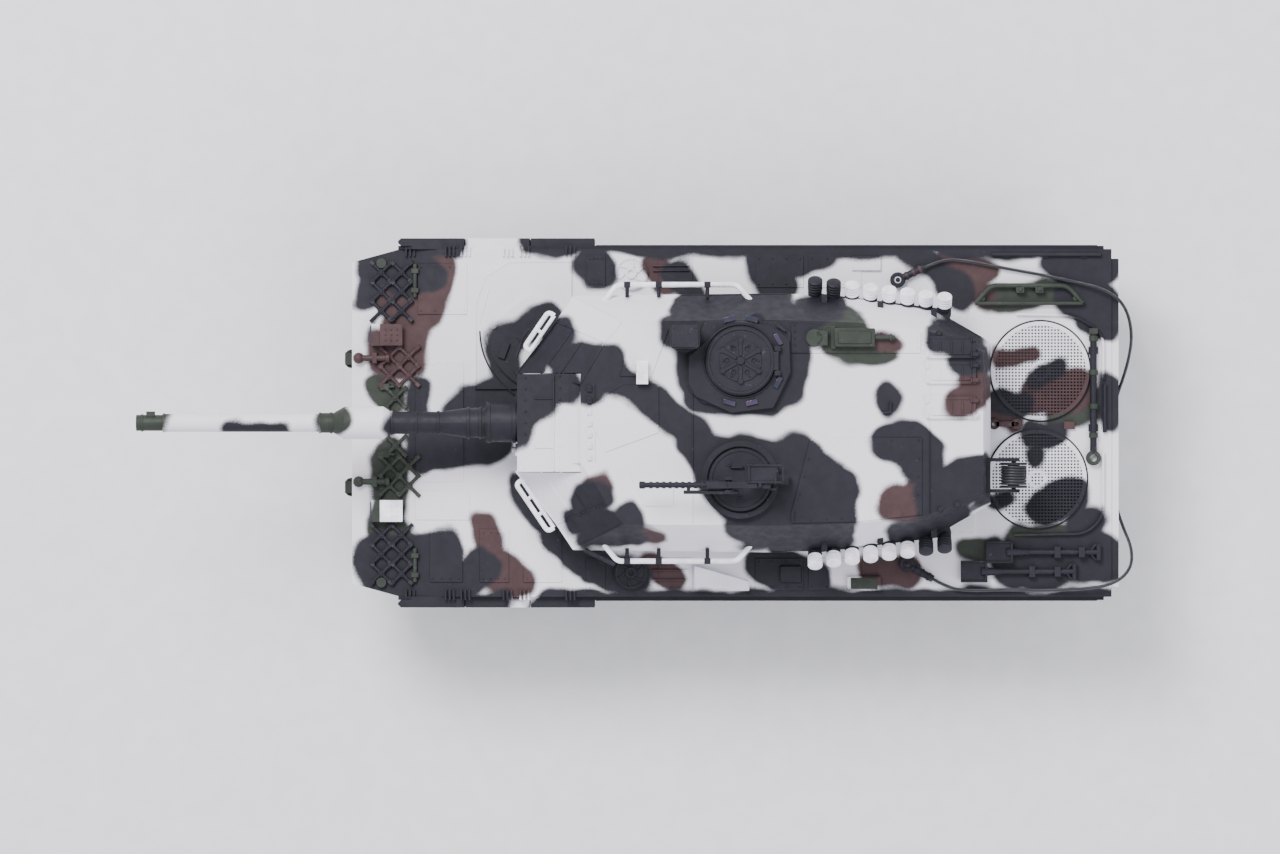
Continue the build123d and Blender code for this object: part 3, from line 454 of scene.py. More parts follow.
class Mesh:
    """A piece's mesh, put together from shapes given in millimetres."""

    def __init__(self):
        self.bm = bmesh.new()

    def place(self, made, matrix):
        """Move newly made vertices."""
        bmesh.ops.transform(self.bm, matrix=matrix, verts=made)

    def box(self, centre, size, turn=0.0, tilt=0.0):
        """A box, turned about Z and tilted about its own Y, in degrees."""
        made = bmesh.ops.create_cube(self.bm, size=1.0)["verts"]
        matrix = (
            Matrix.Translation(centre) @ Matrix.Rotation(radians(turn), 4, "Z")
            @ Matrix.Rotation(radians(tilt), 4, "Y") @ Matrix.Diagonal((*size, 1))
        )
        self.place(made, matrix)

    def rod(self, start, end, radius, sides=20, end_radius=None):
        """A round bar or cone between two points."""
        start, end = Vector(start), Vector(end)
        axis = end - start
        top = radius if end_radius is None else end_radius
        made = bmesh.ops.create_cone(
            self.bm, cap_ends=True, segments=sides, radius1=radius, radius2=top, depth=axis.length
        )["verts"]
        self.place(made, Matrix.Translation((start + end) / 2) @ facing(axis))

    def dome(self, centre, radius, height=0.6, direction=(0, 0, 1)):
        """A rounded bolt head."""
        made = bmesh.ops.create_uvsphere(self.bm, u_segments=10, v_segments=6, radius=radius)["verts"]
        flatten = Matrix.Diagonal((1, 1, height, 1))
        self.place(made, Matrix.Translation(centre) @ facing(direction) @ flatten)

    def join(self, rings, closed=False):
        """Faces between neighbouring rings of vertices."""
        for a, b in zip(rings, rings[1:] + (rings[:1] if closed else [])):
            for k in range(len(a)):
                j = (k + 1) % len(a)
                self.bm.faces.new((a[k], a[j], b[j], b[k]))

    def cap(self, rings):
        """Faces that close the first and the last ring."""
        self.bm.faces.new(rings[0][::-1])
        self.bm.faces.new(rings[-1])

    def plate(self, outline, low, high):
        """A flat plate with a polygon outline seen from above."""
        rings = [[self.bm.verts.new((x, y, z)) for x, y in outline] for z in (low, high)]
        self.cap(rings)
        self.join(rings)

    def tube(self, points, radius, sides=12, closed=False):
        """A round tube along a line of points."""
        points = [Vector(point) for point in points]
        count = len(points)
        rings = []
        up = None
        for i, point in enumerate(points):
            before = points[i - 1] if i or closed else point
            after = points[(i + 1) % count] if i < count - 1 or closed else point
            tangent = (after - before).normalized()
            if up is None:
                up = tangent.orthogonal().normalized()
            up = (up - tangent * up.dot(tangent)).normalized()
            across = tangent.cross(up)
            rings.append([
                self.bm.verts.new(point + (up * cos(a) + across * sin(a)) * radius)
                for a in (2 * pi * k / sides for k in range(sides))
            ])
        self.join(rings, closed)
        if not closed:
            self.cap(rings)

    def pipe(self, points, bend, radius, sides=12):
        """A round tube along a line whose corners are bent."""
        self.tube(rounded_path(points, bend), radius, sides)

    def ring(self, centre, outer, inner, low, high, sides=64):
        """A flat ring about a vertical axis."""
        rings = []
        for radius, z in ((outer, low), (outer, high), (inner, high), (inner, low)):
            places = (polar(centre, radius, 360 * k / sides) for k in range(sides))
            rings.append([self.bm.verts.new((*place, z)) for place in places])
        self.join(rings, closed=True)

    def turned(self, profile, origin, axis, sides=48):
        """A solid turned about an axis, from (distance along the axis, radius) pairs."""
        matrix = Matrix.Translation(origin) @ facing(axis)
        rings = []
        for along, radius in profile:
            places = (polar((0, 0), radius, 360 * k / sides) for k in range(sides))
            rings.append([self.bm.verts.new(matrix @ Vector((*place, along))) for place in places])
        self.join(rings)
        self.cap(rings)

    def piece(self, name, body, material, slot, bevel=0.15, smooth=40):
        """Make the piece, in metres, and let it ride on a body."""
        bmesh.ops.recalc_face_normals(self.bm, faces=self.bm.faces)
        bmesh.ops.scale(self.bm, vec=(MM, MM, MM), verts=self.bm.verts)
        mesh = bpy.data.meshes.new(name)
        self.bm.to_mesh(mesh)
        self.bm.free()
        for polygon in mesh.polygons:
            polygon.use_smooth = True
        mesh.set_sharp_from_angle(angle=radians(smooth))
        mesh.materials.append(material)
        made = bpy.data.objects.new(name, mesh)
        show(made)
        if bevel:
            rounding = made.modifiers.new("bevel", "BEVEL")
            rounding.width = bevel * MM
            rounding.segments = 2
            rounding.limit_method = "ANGLE"
            rounding.angle_limit = radians(40)
        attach(made, body)
        return made


# ---------------------------------------------------------------- places shared by several pieces

deck = 70.0
roof = 110.0
glacis_top_x = 64.0
gun_axis_z = 95.0
skirt_face = 73.5
block_face = 76.4
towing_rod_x = -191.9
rail_y = 56.8
rail_z = 92.0
sides = (1, -1)            # left and right
fan_centres = ((-170.0, -21.5), (-168.7, 23.2))
fan_radius = 20.5
glacis_slope = 0.2018
glacis_angle = degrees(atan(glacis_slope))


def deck_height(x):
    """Height of the hull's top along its length: flat, then sloping down to the nose."""
    return deck - max(0.0, x - glacis_top_x) * glacis_slope


def bolts(mesh, places, radius=0.5, direction=(0, 0, 1)):
    """A bolt head at each place."""
    for place in places:
        mesh.dome(place, radius, 0.6, direction)


def row(start, end, count):
    """Evenly spaced places from one point to another."""
    start, end = Vector(start), Vector(end)
    return [start.lerp(end, i / (count - 1)) for i in range(count)]


def deck_panel(mesh, x0, x1, y0, y1, thickness=0.5):
    """A thin plate on the deck or the glacis, with a bolt row along each long edge."""
    x, y = (x0 + x1) / 2, (y0 + y1) / 2
    tilt = glacis_angle if x > glacis_top_x else 0
    centre = (x, y, deck_height(x) + thickness / 2)
    mesh.box(centre, (abs(x1 - x0), abs(y1 - y0), thickness), tilt=tilt)
    inset = 1.5
    for edge in (min(y0, y1) + inset, max(y0, y1) - inset):
        ends = (min(x0, x1) + inset, max(x0, x1) - inset)
        places = row((ends[0], edge, 0), (ends[1], edge, 0), 4)
        bolts(mesh, [(p.x, p.y, deck_height(p.x) + thickness) for p in places], 0.45)


# ---------------------------------------------------------------- hull pieces


def hull_panels():
    """Access plates over the glacis, fenders and deck."""
    mesh = Mesh()
    deck_panel(mesh, 89.0, 68.5, -25.7, 24.4)
    deck_panel(mesh, 89.0, 66.0, 28.2, 40.2)
    for x0, x1 in ((83, 69), (62, 50), (44, 28)):
        deck_panel(mesh, x0, x1, 44, 66)
    deck_panel(mesh, 88, 67, -66, -45)
    for side in sides:
        for x0, x1 in ((18, 10), (-12, -26), (-52, -72), (-74, -96)):
            deck_panel(mesh, x0, x1, side * 56, side * 69.5, 0.4)
    deck_panel(mesh, -128, -140, -48, -30, 0.4)
    deck_panel(mesh, -126, -145, -12, 12, 0.4)
    deck_panel(mesh, -128, -143, 30, 47, 0.4)
    mesh.piece("hull_panels", "hull", hull_camo, "camo", 0.2)


def driver_area():
    """Raised edges of the driver's roof plate, lower than the hatch that swings over them, and a dark
    line of painted shade for a groove in the plate.
    """
    mesh = Mesh()
    z = deck + 1.05
    edge_radius = 0.42
    edge = [(63.6, -14.5, z), (63.6, -49.5, z), (59.6, -60.4, z), (50, -66.4, z), (24.6, -67.4, z)]
    mesh.tube(edge, edge_radius)
    mesh.tube([(60.4, -37, z), (62, -42, z), (58, -56, z)], edge_radius)
    mesh.box((37, -67.2, z), (26, 1.6, 2 * edge_radius))
    mesh.piece("driver_plate_edges", "hull", hull_camo, "camo", 0.12)
    # painted shade: a dark raised line on the plate stands for the shade inside a groove
    groove_shade = Mesh()
    groove_shade.tube(rounded_path([(62, -38, z), (61, -24, z), (48, -12, z)], 12, 12), 0.4, 8)
    groove_shade.piece("driver_plate_groove_shade", "hull", dark_paint, "dark_camo", 0)


def driver_hatch_relief():
    """Periscope block and facet on the driver's hatch."""
    mesh = Mesh()
    low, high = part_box("driver_hatch")
    top = high.z / MM
    mesh.box((52, -30, top + 0.5), (3, 7, 1.0), turn=-20)
    mesh.box((45.5, -22, top + 0.4), (3, 5, 0.8), turn=-60)
    mesh.rod((56.5, -41, top - 0.1), (56.5, -41, top + 0.5), 2.3)
    mesh.piece("driver_hatch_relief", "driver_hatch", hull_camo, "camo", 0.12)


def cleat(mesh, x, y, size=7.5):
    """A cross-shaped ice cleat lying on the sloping front."""
    z = deck_height(x) + 1.1
    drop = size / 2 * glacis_slope
    for way in (1, -1):
        start = (x - size / 2, y - way * size / 2, z + drop)
        end = (x + size / 2, y + way * size / 2, z - drop)
        mesh.rod(start, end, 0.8, 8)
        for point in (start, end):
            mesh.box(point, (2.2, 1.6, 1.8), turn=way * 45, tilt=glacis_angle)
    mesh.box((x, y, z + 0.2), (2.2, 2.2, 1.6), turn=45, tilt=glacis_angle)
    mesh.rod((x, y, z + 0.4), (x, y, z + 1.4), 0.6, 10)


def ice_cleats():
    """Spare ice cleats clamped across the nose and on both fenders."""
    groups = {
        "cleats_right": (dark_paint, [(x, y) for x in (103, 94.5) for y in (-62.5, -54.5, -46.5)]),
        "cleats_left": (dark_paint, [(x, y) for x in (103, 94.5) for y in (62.5, 54.5, 46.5)]),
        "cleats_centre_right": (brown_paint, [(x, y) for x in (99.5, 91.5) for y in (-27.5, -19.5)]),
        "cleats_middle": (green_paint, [(97, -10.5), (97, 9.5)]),
        "cleats_centre_left": (green_paint, [(x, y) for x in (99.5, 91.5) for y in (18, 26)]),
    }
    for name, (material, places) in groups.items():
        mesh = Mesh()
        for x, y in places:
            cleat(mesh, x, y)
        mesh.piece(name, "hull", material, "camo", 0.15)


def front_fittings():
    """Clamps, fender lamps and towing heads along the nose."""
    mesh = Mesh()
    for side in sides:
        x, z = 89.0, deck_height(89.0) + 1.2
        mesh.rod((x, side * 52, z), (x, side * 66, z), 0.9, 12)
        mesh.box((x, side * 55, z), (3.0, 2.0, 2.4))
        mesh.box((x, side * 63, z), (3.0, 2.0, 2.4))
        lamp = Vector((103, side * 66.2, deck_height(103)))
        mesh.rod(lamp - Vector((0, 0, 0.4)), lamp + Vector((0, 0, 2.2)), 2.1)
    for name, y, material in (("right", -26.9, brown_paint), ("left", 24.4, green_paint)):
        pin = Mesh()
        start = Vector((112.5, y, deck_height(112.5) + 2.2))
        end = Vector((101.0, y, deck_height(101) + 2.0))
        pin.rod(start, end, 1.3, 14)
        pin.dome(start, 2.4, 1.0)
        pin.rod(end, end + Vector((-1.6, 0, 0.2)), 2.0, 14)
        pin.box(start.lerp(end, 0.6), (2, 4.4, 2.6), tilt=glacis_angle)
        pin.piece(f"towing_pin_{name}", "hull", material, "olive", 0.15)
    for y in (-15, -5, 4, 13):
        x = 101.5
        mesh.box((x, y, deck_height(x) + 0.9), (4.2, 2.6, 1.8), tilt=glacis_angle)
        mesh.rod((x - 4, y, deck_height(x - 4) + 1.3), (x + 3, y, deck_height(x + 3) + 1.3), 0.6, 8)
    mesh.piece("front_fittings", "hull", green_paint, "olive", 0.15)
    lamps = Mesh()
    for side in sides:
        lamps.box((107.2, side * 36.5, 63.6), (0.8, 7.6, 5.4))
    lamps.piece("headlamp_lenses", "hull", glass, "black_plastic", 0.2)
    for name, side, material in (("left", 1, white_paint), ("right", -1, brown_paint)):
        hood = Mesh()
        hood.box((98.8, side * 36.5, 67.4), (9.4, 9.0, 0.8))
        bolts(hood, [
            (x, side * 36.5 + y, 67.9) for x in (96.4, 98.8, 101.2) for y in (-2.2, 0, 2.2)
        ], 0.5)
        hood.piece(f"headlamp_hood_{name}", "hull", material, "camo", 0.15)


def skirt_fittings():
    """Hinge combs along the top of the skirts, seams and bolts on their outer faces."""
    combs = Mesh()
    for side in sides:
        for x in (91, 74.5, 68, 50.5, 43.5, 24.5):
            for step in (-1.7, 0, 1.7):
                combs.box((x + step, side * 71.2, deck_height(x) + 0.6), (0.8, 4.4, 1.6))
    combs.piece("skirt_hinges", "hull", hull_camo, "camo", 0.1)
    outer = Mesh()
    for side in sides:
        face = side * skirt_face
        for x in (-4, -26, -50, -74, -98, -122, -146, -170):
            outer.box((x, face, 49), (0.9, 0.5, 33))
            bolts(outer, row((x - 2.4, face, 34), (x - 2.4, face, 64), 6), 0.5, (0, side, 0))
        outer.box((-88, face, 34.5), (196, 0.5, 1.0))
        outer.box((-90, face, 63.4), (208, 0.6, 1.6))
        block = side * block_face
        for x0, x1 in ((96, 68.5), (68, 41.5), (41, 14.5)):
            middle = (x0 + x1) / 2
            for z in (57, 42):
                outer.box((middle, block - side * 0.2, z), (20, 0.5, 1.2))
            places = [(middle + dx, block - side * 0.1, z) for dx in (-10, 10) for z in (38, 49.5, 61)]
            bolts(outer, places, 0.7, (0, side, 0))
    outer.piece("skirt_seams", "hull", hull_camo, "camo", 0.1)


def fan_mesh():
    """The two round radiator fans under their wire mesh, each ringed by a painted shadow line on the
    deck.
    """
    rings = Mesh()
    wires = Mesh()
    for x, y in fan_centres:
        rings.ring((x, y), fan_radius, fan_radius - 1.7, deck, deck + 1.6, 72)
        rings.ring((x, y), 4.0, 2.6, deck, deck + 0.9, 32)
        rim = fan_radius - 0.8
        bolts(rings, [(*polar((x, y), rim, 30 * k), deck + 1.5) for k in range(12)], 0.45)
        pitch = 1.35
        wire = 0.62
        reach = fan_radius - 1.2
        count = int(reach // pitch)
        for k in range(-count, count + 1):
            offset = k * pitch
            half = sqrt(reach**2 - offset**2)
            wires.box((x + offset, y, deck + 1.0), (wire, 2 * half, 0.4))
            wires.box((x, y + offset, deck + 1.25), (2 * half, wire, 0.4))
    joined = rings.piece("fan_rings", "hull", hull_camo, "camo", 0.15)
    wires.piece("fan_wires", "hull", hull_camo, "camo", 0)
    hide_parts("fan_grilles")
    blades_and_shadow_ring = Mesh()
    for x, y in fan_centres:
        blades_and_shadow_ring.rod((x, y, deck + 0.02), (x, y, deck + 0.2), fan_radius - 1, 64)
        # painted shadow: a thin dark ring lying on the deck round each fan stands for the shade in the
        # gap at its rim
        blades_and_shadow_ring.ring((x, y), fan_radius + 0.7, fan_radius, deck + 0.02, deck + 0.25, 72)
        for angle in range(0, 360, 40):
            blades_and_shadow_ring.box((*polar((x, y), 10.5, angle), deck + 0.35), (15, 2.6, 0.3), turn=angle + 12)
    blades_and_shadow_ring.piece("fan_blades_and_shadow_ring", "hull", dark_paint, "dark_camo", 0.05)


def rear_deck_fittings():
    """Pipes, carrying frame, rods and small tools on the rear deck."""
    pipes = Mesh()
    z = deck + 1.2
    pipes.pipe([(-160, -45, z), (-184, -44.6, z), (-196, -37, z), (-196, -18, z)], 5, 0.65)
    pipes.pipe([(-159, 46.4, z), (-189, 46, z), (-196, 39, z), (-196, 12, z)], 5, 0.65)
    pipes.piece("deck_pipes", "hull", hull_camo, "camo", 0)
    carrier = Mesh()
    z = deck + 2.4
    loop = [(-143, -49.5, z), (-149.5, -56.8, z), (-181, -56.8, z), (-187.5, -49.5, z)]
    carrier.pipe(loop, 3, 1.0)
    carrier.tube([(-143, -49.5, z), (-187.5, -49.5, z)], 0.8)
    for x in (-146, -184.5):
        carrier.rod((x, -51.5, deck), (x, -51.5, z), 1.1)
    for x in (-161.5, -169.5):
        carrier.box((x, -55.4, deck + 1.6), (3.4, 3.2, 3.2))
        carrier.rod((x, -55.4, deck + 3), (x, -55.4, deck + 3.9), 0.9)
    carrier.piece("carrying_frame", "hull", green_paint, "olive", 0.12)
    rods = Mesh()
    rod_y = -69.6
    rods.rod((-150, rod_y, deck + 1.1), (-195, rod_y, deck + 1.1), 0.8)
    for x in (-156, -172, -188):
        rods.box((x, rod_y, deck + 0.6), (2.4, 2.4, 1.2))
    rods.rod((-196.6, -16, deck + 1.1), (-196.6, 4, deck + 1.1), 0.8)
    rods.piece("cleaning_rods", "hull", dark_paint, "dark_camo", 0.1)
    tool = Mesh()
    tool.box((-155.5, 0.5, deck + 0.9), (8, 2.2, 1.4))
    for end in (-1, 1):
        tool.ring((-155.5 + end * 4.6, 0.5), 2.2, 0.9, deck + 0.3, deck + 1.6, 20)
    tool.box((-182, 1, deck + 0.8), (4.5, 3.2, 1.4))
    tool.piece("track_wrench", "hull", brown_paint, "dark_camo", 0.12)


def tool_details():
    """Blade lips, grips and straps on the spades, and collars on the towing rod."""
    mesh = Mesh()
    for blade_x, y, handle_x in ((-153, 53.5, -194), (-142.5, 61.5, -184)):
        for side in sides:
            mesh.box((blade_x, y + side * 4.1, deck + 3.1), (10.6, 0.7, 1.2))
        mesh.box((blade_x - 5, y, deck + 3.1), (1.0, 8.6, 1.2))
        mesh.rod((blade_x - 3, y, deck + 2.5), (blade_x - 12, y, deck + 2.2), 1.9, 16, 1.3)
        mesh.box((blade_x - 24, y, deck + 2.9), (2.6, 4.6, 1.2))
        mesh.box((handle_x + 7, y, deck + 2.2), (2.6, 4.2, 3.4))
        for end in (-3, 3):
            grip = [(handle_x + 3.5, y), (handle_x + 1.5, y + end), (handle_x, y + end)]
            mesh.pipe([(*place, deck + 2) for place in grip], 0.8, 0.6, 8)
    mesh.piece("spade_details", "hull", dark_paint, "dark_camo", 0.12)
    bar = Mesh()
    for y in (-36, -22, -8, 4):
        bar.rod((towing_rod_x, y, deck + 1.7), (towing_rod_x, y + 2.2, deck + 1.7), 1.9, 16)
    bar.ring((towing_rod_x, 14.5), 3.1, 1.5, deck + 0.6, deck + 2.9, 28)
    bar.box((towing_rod_x, -38, deck + 1.7), (3.6, 2.4, 3.0))
    bar.piece("towing_rod_collars", "hull", green_paint, "olive", 0.12)


def cap_relief():
    """Raised pattern on the two fuel filler caps."""
    mesh = Mesh()
    for side in sides:
        centre = (-0.6, side * 62)
        top = deck + 1.8
        mesh.ring(centre, 6.6, 5.6, top, top + 0.5, 40)
        mesh.ring(centre, 2.4, 1.2, top, top + 0.8, 24)
        for angle in range(20, 380, 60):
            mesh.box((*polar(centre, 4, angle), top + 0.3), (3.4, 0.9, 0.6), turn=angle + 25)
            mesh.dome((*polar(centre, 6.1, angle), top + 0.5), 0.5)
        for y in (centre[1] - 1, side * 65):
            mesh.tube([(-9.6, y, deck + 0.8), (-24.6, y, deck + 0.8)], 0.45, 8)
    mesh.piece("fuel_cap_relief", "hull", hull_camo, "camo", 0.1)


def fender_boxes():
    """Wedge-shaped box and small stowage boxes on the left fender."""
    mesh = Mesh()
    mesh.plate([(-26.7, 59), (-49.5, 65.5), (-49.5, 69.5), (-26.7, 69.5)], deck, deck + 3.4)
    mesh.plate([(-62.3, 59.2), (-71, 59.2), (-71, 66), (-62.3, 66)], deck, deck + 1.6)
    mesh.plate([(-90, 63.5), (-104, 63.5), (-104, 69.4), (-90, 69.4)], deck, deck + 2.6)
    mesh.plate([(-92, -63), (-104, -63), (-104, -69), (-92, -69)], deck, deck + 1.4)
    mesh.piece("fender_boxes", "hull", hull_camo, "camo", 0.3)
    lids = Mesh()
    lids.box((-97, 66.4, deck + 2.8), (11, 4.6, 0.5))
    bolts(lids, [(x, y, deck + 3.0) for x in (-93, -101) for y in (65, 67.8)], 0.45)
    lids.piece("fender_box_lids", "hull", green_paint, "olive", 0.15)


def rear_face():
    """Lamps, louvres, tow shackles and mud flaps on the back of the hull."""
    mesh = Mesh()
    low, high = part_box("rear_plate")
    face = low.x / MM
    for y in (-24, -8, 8, 24):
        for z in (44.2, 46.2, 48.2):
            mesh.box((face - 0.1, y, z), (0.8, 11, 0.9), tilt=25)
    for side in sides:
        mesh.box((face + 0.2, side * 34.5, 47), (2.4, 7, 8))
        mesh.box((-198.6, side * 57, 63.5), (1.2, 24, 1.6))
    mesh.piece("rear_louvres", "hull", hull_camo, "camo", 0.15)
    lamps = Mesh()
    for side in sides:
        for z in (44.6, 49.4):
            lamps.rod((face - 0.8, side * 34.5, z), (face - 1.6, side * 34.5, z), 1.7, 20)
    lamps.piece("tail_lamps", "hull", glass, "black_plastic", 0.15)
    flaps = Mesh()
    for side in sides:
        flaps.box((-198.0, side * 57.5, 56.5), (1.0, 25, 13))
        for y in (50, 57.5, 65):
            flaps.box((-198.7, side * y, 56.5), (0.6, 1.0, 12))
    flaps.piece("mud_flaps", "hull", track_rubber, "rubber", 0.2)
    shackles = Mesh()
    for side in sides:
        rear = Vector((-196.5, side * 29, 38))
        nose = Vector((113.5, side * 26.7, 53))
        for root, reach, half, drop, bend, radius in (
            (rear, -5, 2.4, 0, 2.2, 1.0), (nose, 4.2, 3, -1, 2, 0.9),
        ):
            loop = [(0, -half, 0), (reach, -half, drop), (reach, half, drop), (0, half, 0)]
            shackles.pipe([root + Vector(place) for place in loop], bend, radius)
        shackles.box(rear + Vector((0.6, 0, 0)), (2.4, 7, 4.4))
    shackles.piece("tow_shackles", "hull", dark_paint, "dark_camo", 0.15)


# ---------------------------------------------------------------- turret pieces

commander = (-45.3, -25.3)
loader = (-45.3, 23.2)
sight = (-22.6, -35.2)


def roof_plates():
    """Bolted plates, seams and fittings on the turret's flat roof."""
    mesh = Mesh()
    right = [(-66, -28.5), (-119, -28.5), (-119, -37.5), (-66, -40.5)]
    left = [(-66, 37), (-74, 6), (-119.5, 6), (-119.5, 37.5), (-93, 40.4), (-66, 41)]
    for outline in (right, left):
        mesh.plate(outline, roof, roof + 0.6)
        corners = outline + outline[:1]
        middle = sum((Vector((x, y, 0)) for x, y in outline), Vector()) / len(outline)
        for a, b in zip(corners, corners[1:]):
            for place in row((*a, 0), (*b, 0), 5)[:-1]:
                inward = place + (middle - place).normalized() * 1.6
                bolts(mesh, [(inward.x, inward.y, roof + 0.6)], 0.5)
    mesh.plate([(18, -6), (2, -15.5), (-12, -15.5), (-12, 4), (10, 12)], roof, roof + 0.5)
    mesh.plate([(2, 16), (-18, 24), (-18, 34), (-6, 34)], roof, roof + 0.5)
    mesh.plate([(4, -19), (-0.5, -37), (-16, -38), (-9, -19)], roof, roof + 0.5)
    for points in (
        [(-25.9, -41.6), (-25.9, -29)], [(-25.9, -12), (-25.9, 41.6)],
        [(-122.8, -37), (-122.8, 37)], [(14, -16), (14, 16)],
    ):
        mesh.tube([(x, y, roof + 0.1) for x, y in points], 0.35, 8)
    for y in (-14, -9.3, -4.6, 0, 4.6, 9.3, 14):
        mesh.box((16.4, y, roof + 0.5), (2.0, 2.6, 1.2))
        mesh.dome((16.4, y, roof + 1.1), 0.5)
    hook = [(-106.6, -8.3), (-106.6, -4.2), (-103.4, -4.2)]
    mesh.tube([(*place, roof + 0.7) for place in hook], 0.7, 10)
    mesh.piece("roof_plates", "turret", turret_camo, "camo", 0.15)


def roof_devices():
    """Crosswind box, lifting knobs and antenna bases on the roof and its shoulders."""
    mesh = Mesh()
    y, z = -34.8, roof + 2.4
    mesh.rod((-75.6, y + 0.2, roof + 0.6), (-75.6, y + 0.2, roof + 3.2), 3.6, 28)
    mesh.box((-78.5, y + 0.2, roof + 1.9), (5, 6, 2.6))
    mesh.box((-91.9, y, z), (16.5, 7.6, 3.6))
    mesh.box((-91.9, y, z + 1.9), (13.5, 5.0, 0.8))
    mesh.rod((-100, y, z), (-108.5, y, z), 0.9, 14)
    mesh.rod((-106, y, z), (-107.4, y, z), 1.5, 14)
    mesh.box((-83.2, y, roof + 1.4), (2, 9.4, 1.2))
    mesh.piece("weather_sensor", "turret", green_paint, "olive", 0.3)
    knobs = Mesh()
    for x, y, radius in (
        (-52, -41.5, 3.4), (-126.5, -36.5, 1.5), (-134.0, 33.5, 1.5), (-127, 35.5, 1.3),
    ):
        z = roof - 0.4 if abs(y) < 41 else roof - 1.2
        knobs.rod((x, y, z - 2), (x, y, z + 1.4), radius, 28)
        knobs.rod((x, y, z + 1.4), (x, y, z + 2.3), radius * 0.62, 24)
    knobs.rod((-60.7, -39.5, roof - 1), (-60.7, -39.5, roof + 2.6), 0.9, 12)
    knobs.rod((-60.7, -39.5, roof + 2.4), (-63.6, -37.4, roof + 2.9), 0.7, 10)
    knobs.piece("roof_knobs", "turret", dark_paint, "dark_camo", 0.2)


def sight_window():
    """Glass and bolts of the gunner's sight."""
    mesh = Mesh()
    middle_y = -20.6
    mesh.box((-3.0, middle_y, roof + 1.8), (0.6, 6.8, 2.0))
    mesh.piece("gunner_sight_glass", "turret", glass, "black_plastic", 0.05)
    cover = Mesh()
    cover.box((-5.2, middle_y, roof + 3.7), (4.8, 9.6, 0.5))
    bolts(cover, [(-6.2, middle_y + dy, roof + 3.9) for dy in (-3.4, 0, 3.4)], 0.4)
    cover.piece("gunner_sight_cover", "turret", white_paint, "camo", 0.1)


def lid_latches():
    """Raised rims, ribs and latches on the three bustle lids."""
    mesh = Mesh()
    top = roof + 1.4
    lid_x = -131.5
    for y in (-31, -20.5, -6.2):
        mesh.box((lid_x, y, top + 0.25), (16.5, 6.2, 0.5))
        for dx in (-4.5, 0, 4.5):
            mesh.box((lid_x + dx, y, top + 0.6), (0.8, 5.0, 0.4))
        for dy in (-3, 3):
            mesh.box((-141.2, y + dy, top + 0.1), (2.6, 1.6, 1.2))
            mesh.rod((-139.6, y + dy - 1, top + 0.7), (-139.6, y + dy + 1, top + 0.7), 0.5, 10)
            mesh.box((-121.6, y + dy, top), (1.6, 2.4, 1.0))
    mesh.piece("bustle_lid_details", "turret", turret_camo, "camo", 0.12)


def cheek_lines():
    """Weld seams, bolts and lifting lugs on the sloping cheeks."""
    mesh = Mesh()
    for side in sides:
        edge = [Vector((x, side * y, 89)) for x, y in ((46.6, 20), (30, 41.5), (23, 52))]
        crown = [Vector((x, side * y, roof)) for x, y in ((20, 16), (10, 33), (3, 41.5))]
        mesh.tube(edge, 0.4, 8)
        mesh.tube(crown, 0.35, 8)
        for a, b in zip(edge, crown):
            mesh.tube([a, b], 0.35, 8)
        for t in (0.35, 0.62):
            mesh.tube([edge[0].lerp(crown[0], t), edge[1].lerp(crown[1], t)], 0.3, 8)
        for t in (0.2, 0.5, 0.8):
            mesh.dome(edge[1].lerp(crown[1], t) + Vector((0.4, side * 0.2, 0.3)), 0.55)
        widest = ((-62, 53), (-93, 51.5), (-125, 46.5), (-148.5, 33))
        mesh.tube([edge[2]] + [(x, side * y, 89) for x, y in widest], 0.3, 8)
    mesh.piece("turret_seams", "turret", turret_camo, "camo", 0)


def carrying_handles():
    """White handles on the front edges of both cheeks."""
    mesh = Mesh()
    handles = ((1, (45.0, 24.0), (31.8, 43.5), 3), (-1, (41.5, -30.0), (31.6, -44.5), 2))
    for side, near, far, slots in handles:
        start, end = Vector((*near, 92.5)), Vector((*far, 92.5))
        along = (end - start).normalized()
        out = Vector((along.y, -along.x, 0)) * side * 2.1
        if out.x < 0:
            out = -out
        loop = [start - out * 0.4, start + out, end + out, end - out * 0.4]
        mesh.pipe(loop, 1.8, 1.0, 14)
        for k in range(1, slots):
            place = start.lerp(end, k / slots)
            mesh.rod(place + out, place - out * 0.4, 0.8, 12)
        mesh.tube([start - out * 0.4, end - out * 0.4], 0.8, 12)
    mesh.piece("carrying_handles", "turret", white_paint, "camo", 0)
    bracket = Mesh()
    bracket.pipe([(46.5, -27.0, 90), (44.0, -34.5, 90.5), (41.5, -38.5, 92)], 1, 0.55, 10)
    bracket.tube([(44.6, -33, 90.3), (46.8, -35.4, 90.6)], 0.55, 10)
    bracket.piece("cheek_bracket", "turret", dark_paint, "dark_camo", 0)


def rail_supports():
    """Feet that hold the side rails, and the sprung aerial bar on the left."""
    mesh = Mesh()
    for side in sides:
        for x in (1, -12, -32):
            mesh.rod((x, side * 51.5, rail_z), (x, side * rail_y, rail_z), 0.8, 12)
            mesh.box((x, side * rail_y, rail_z), (2.6, 2.5, 2.5))
    mesh.rod((18.5, 52.2, 90), (6, 58.3, 90.4), 0.9, 12)
    mesh.piece("rail_supports", "turret", dark_paint, "dark_camo", 0.12)


def launcher_y(x):
    """Distance of the launcher tubes from the middle, following the tapering side."""
    return 51.0 + 0.125 * (x + 76.0)


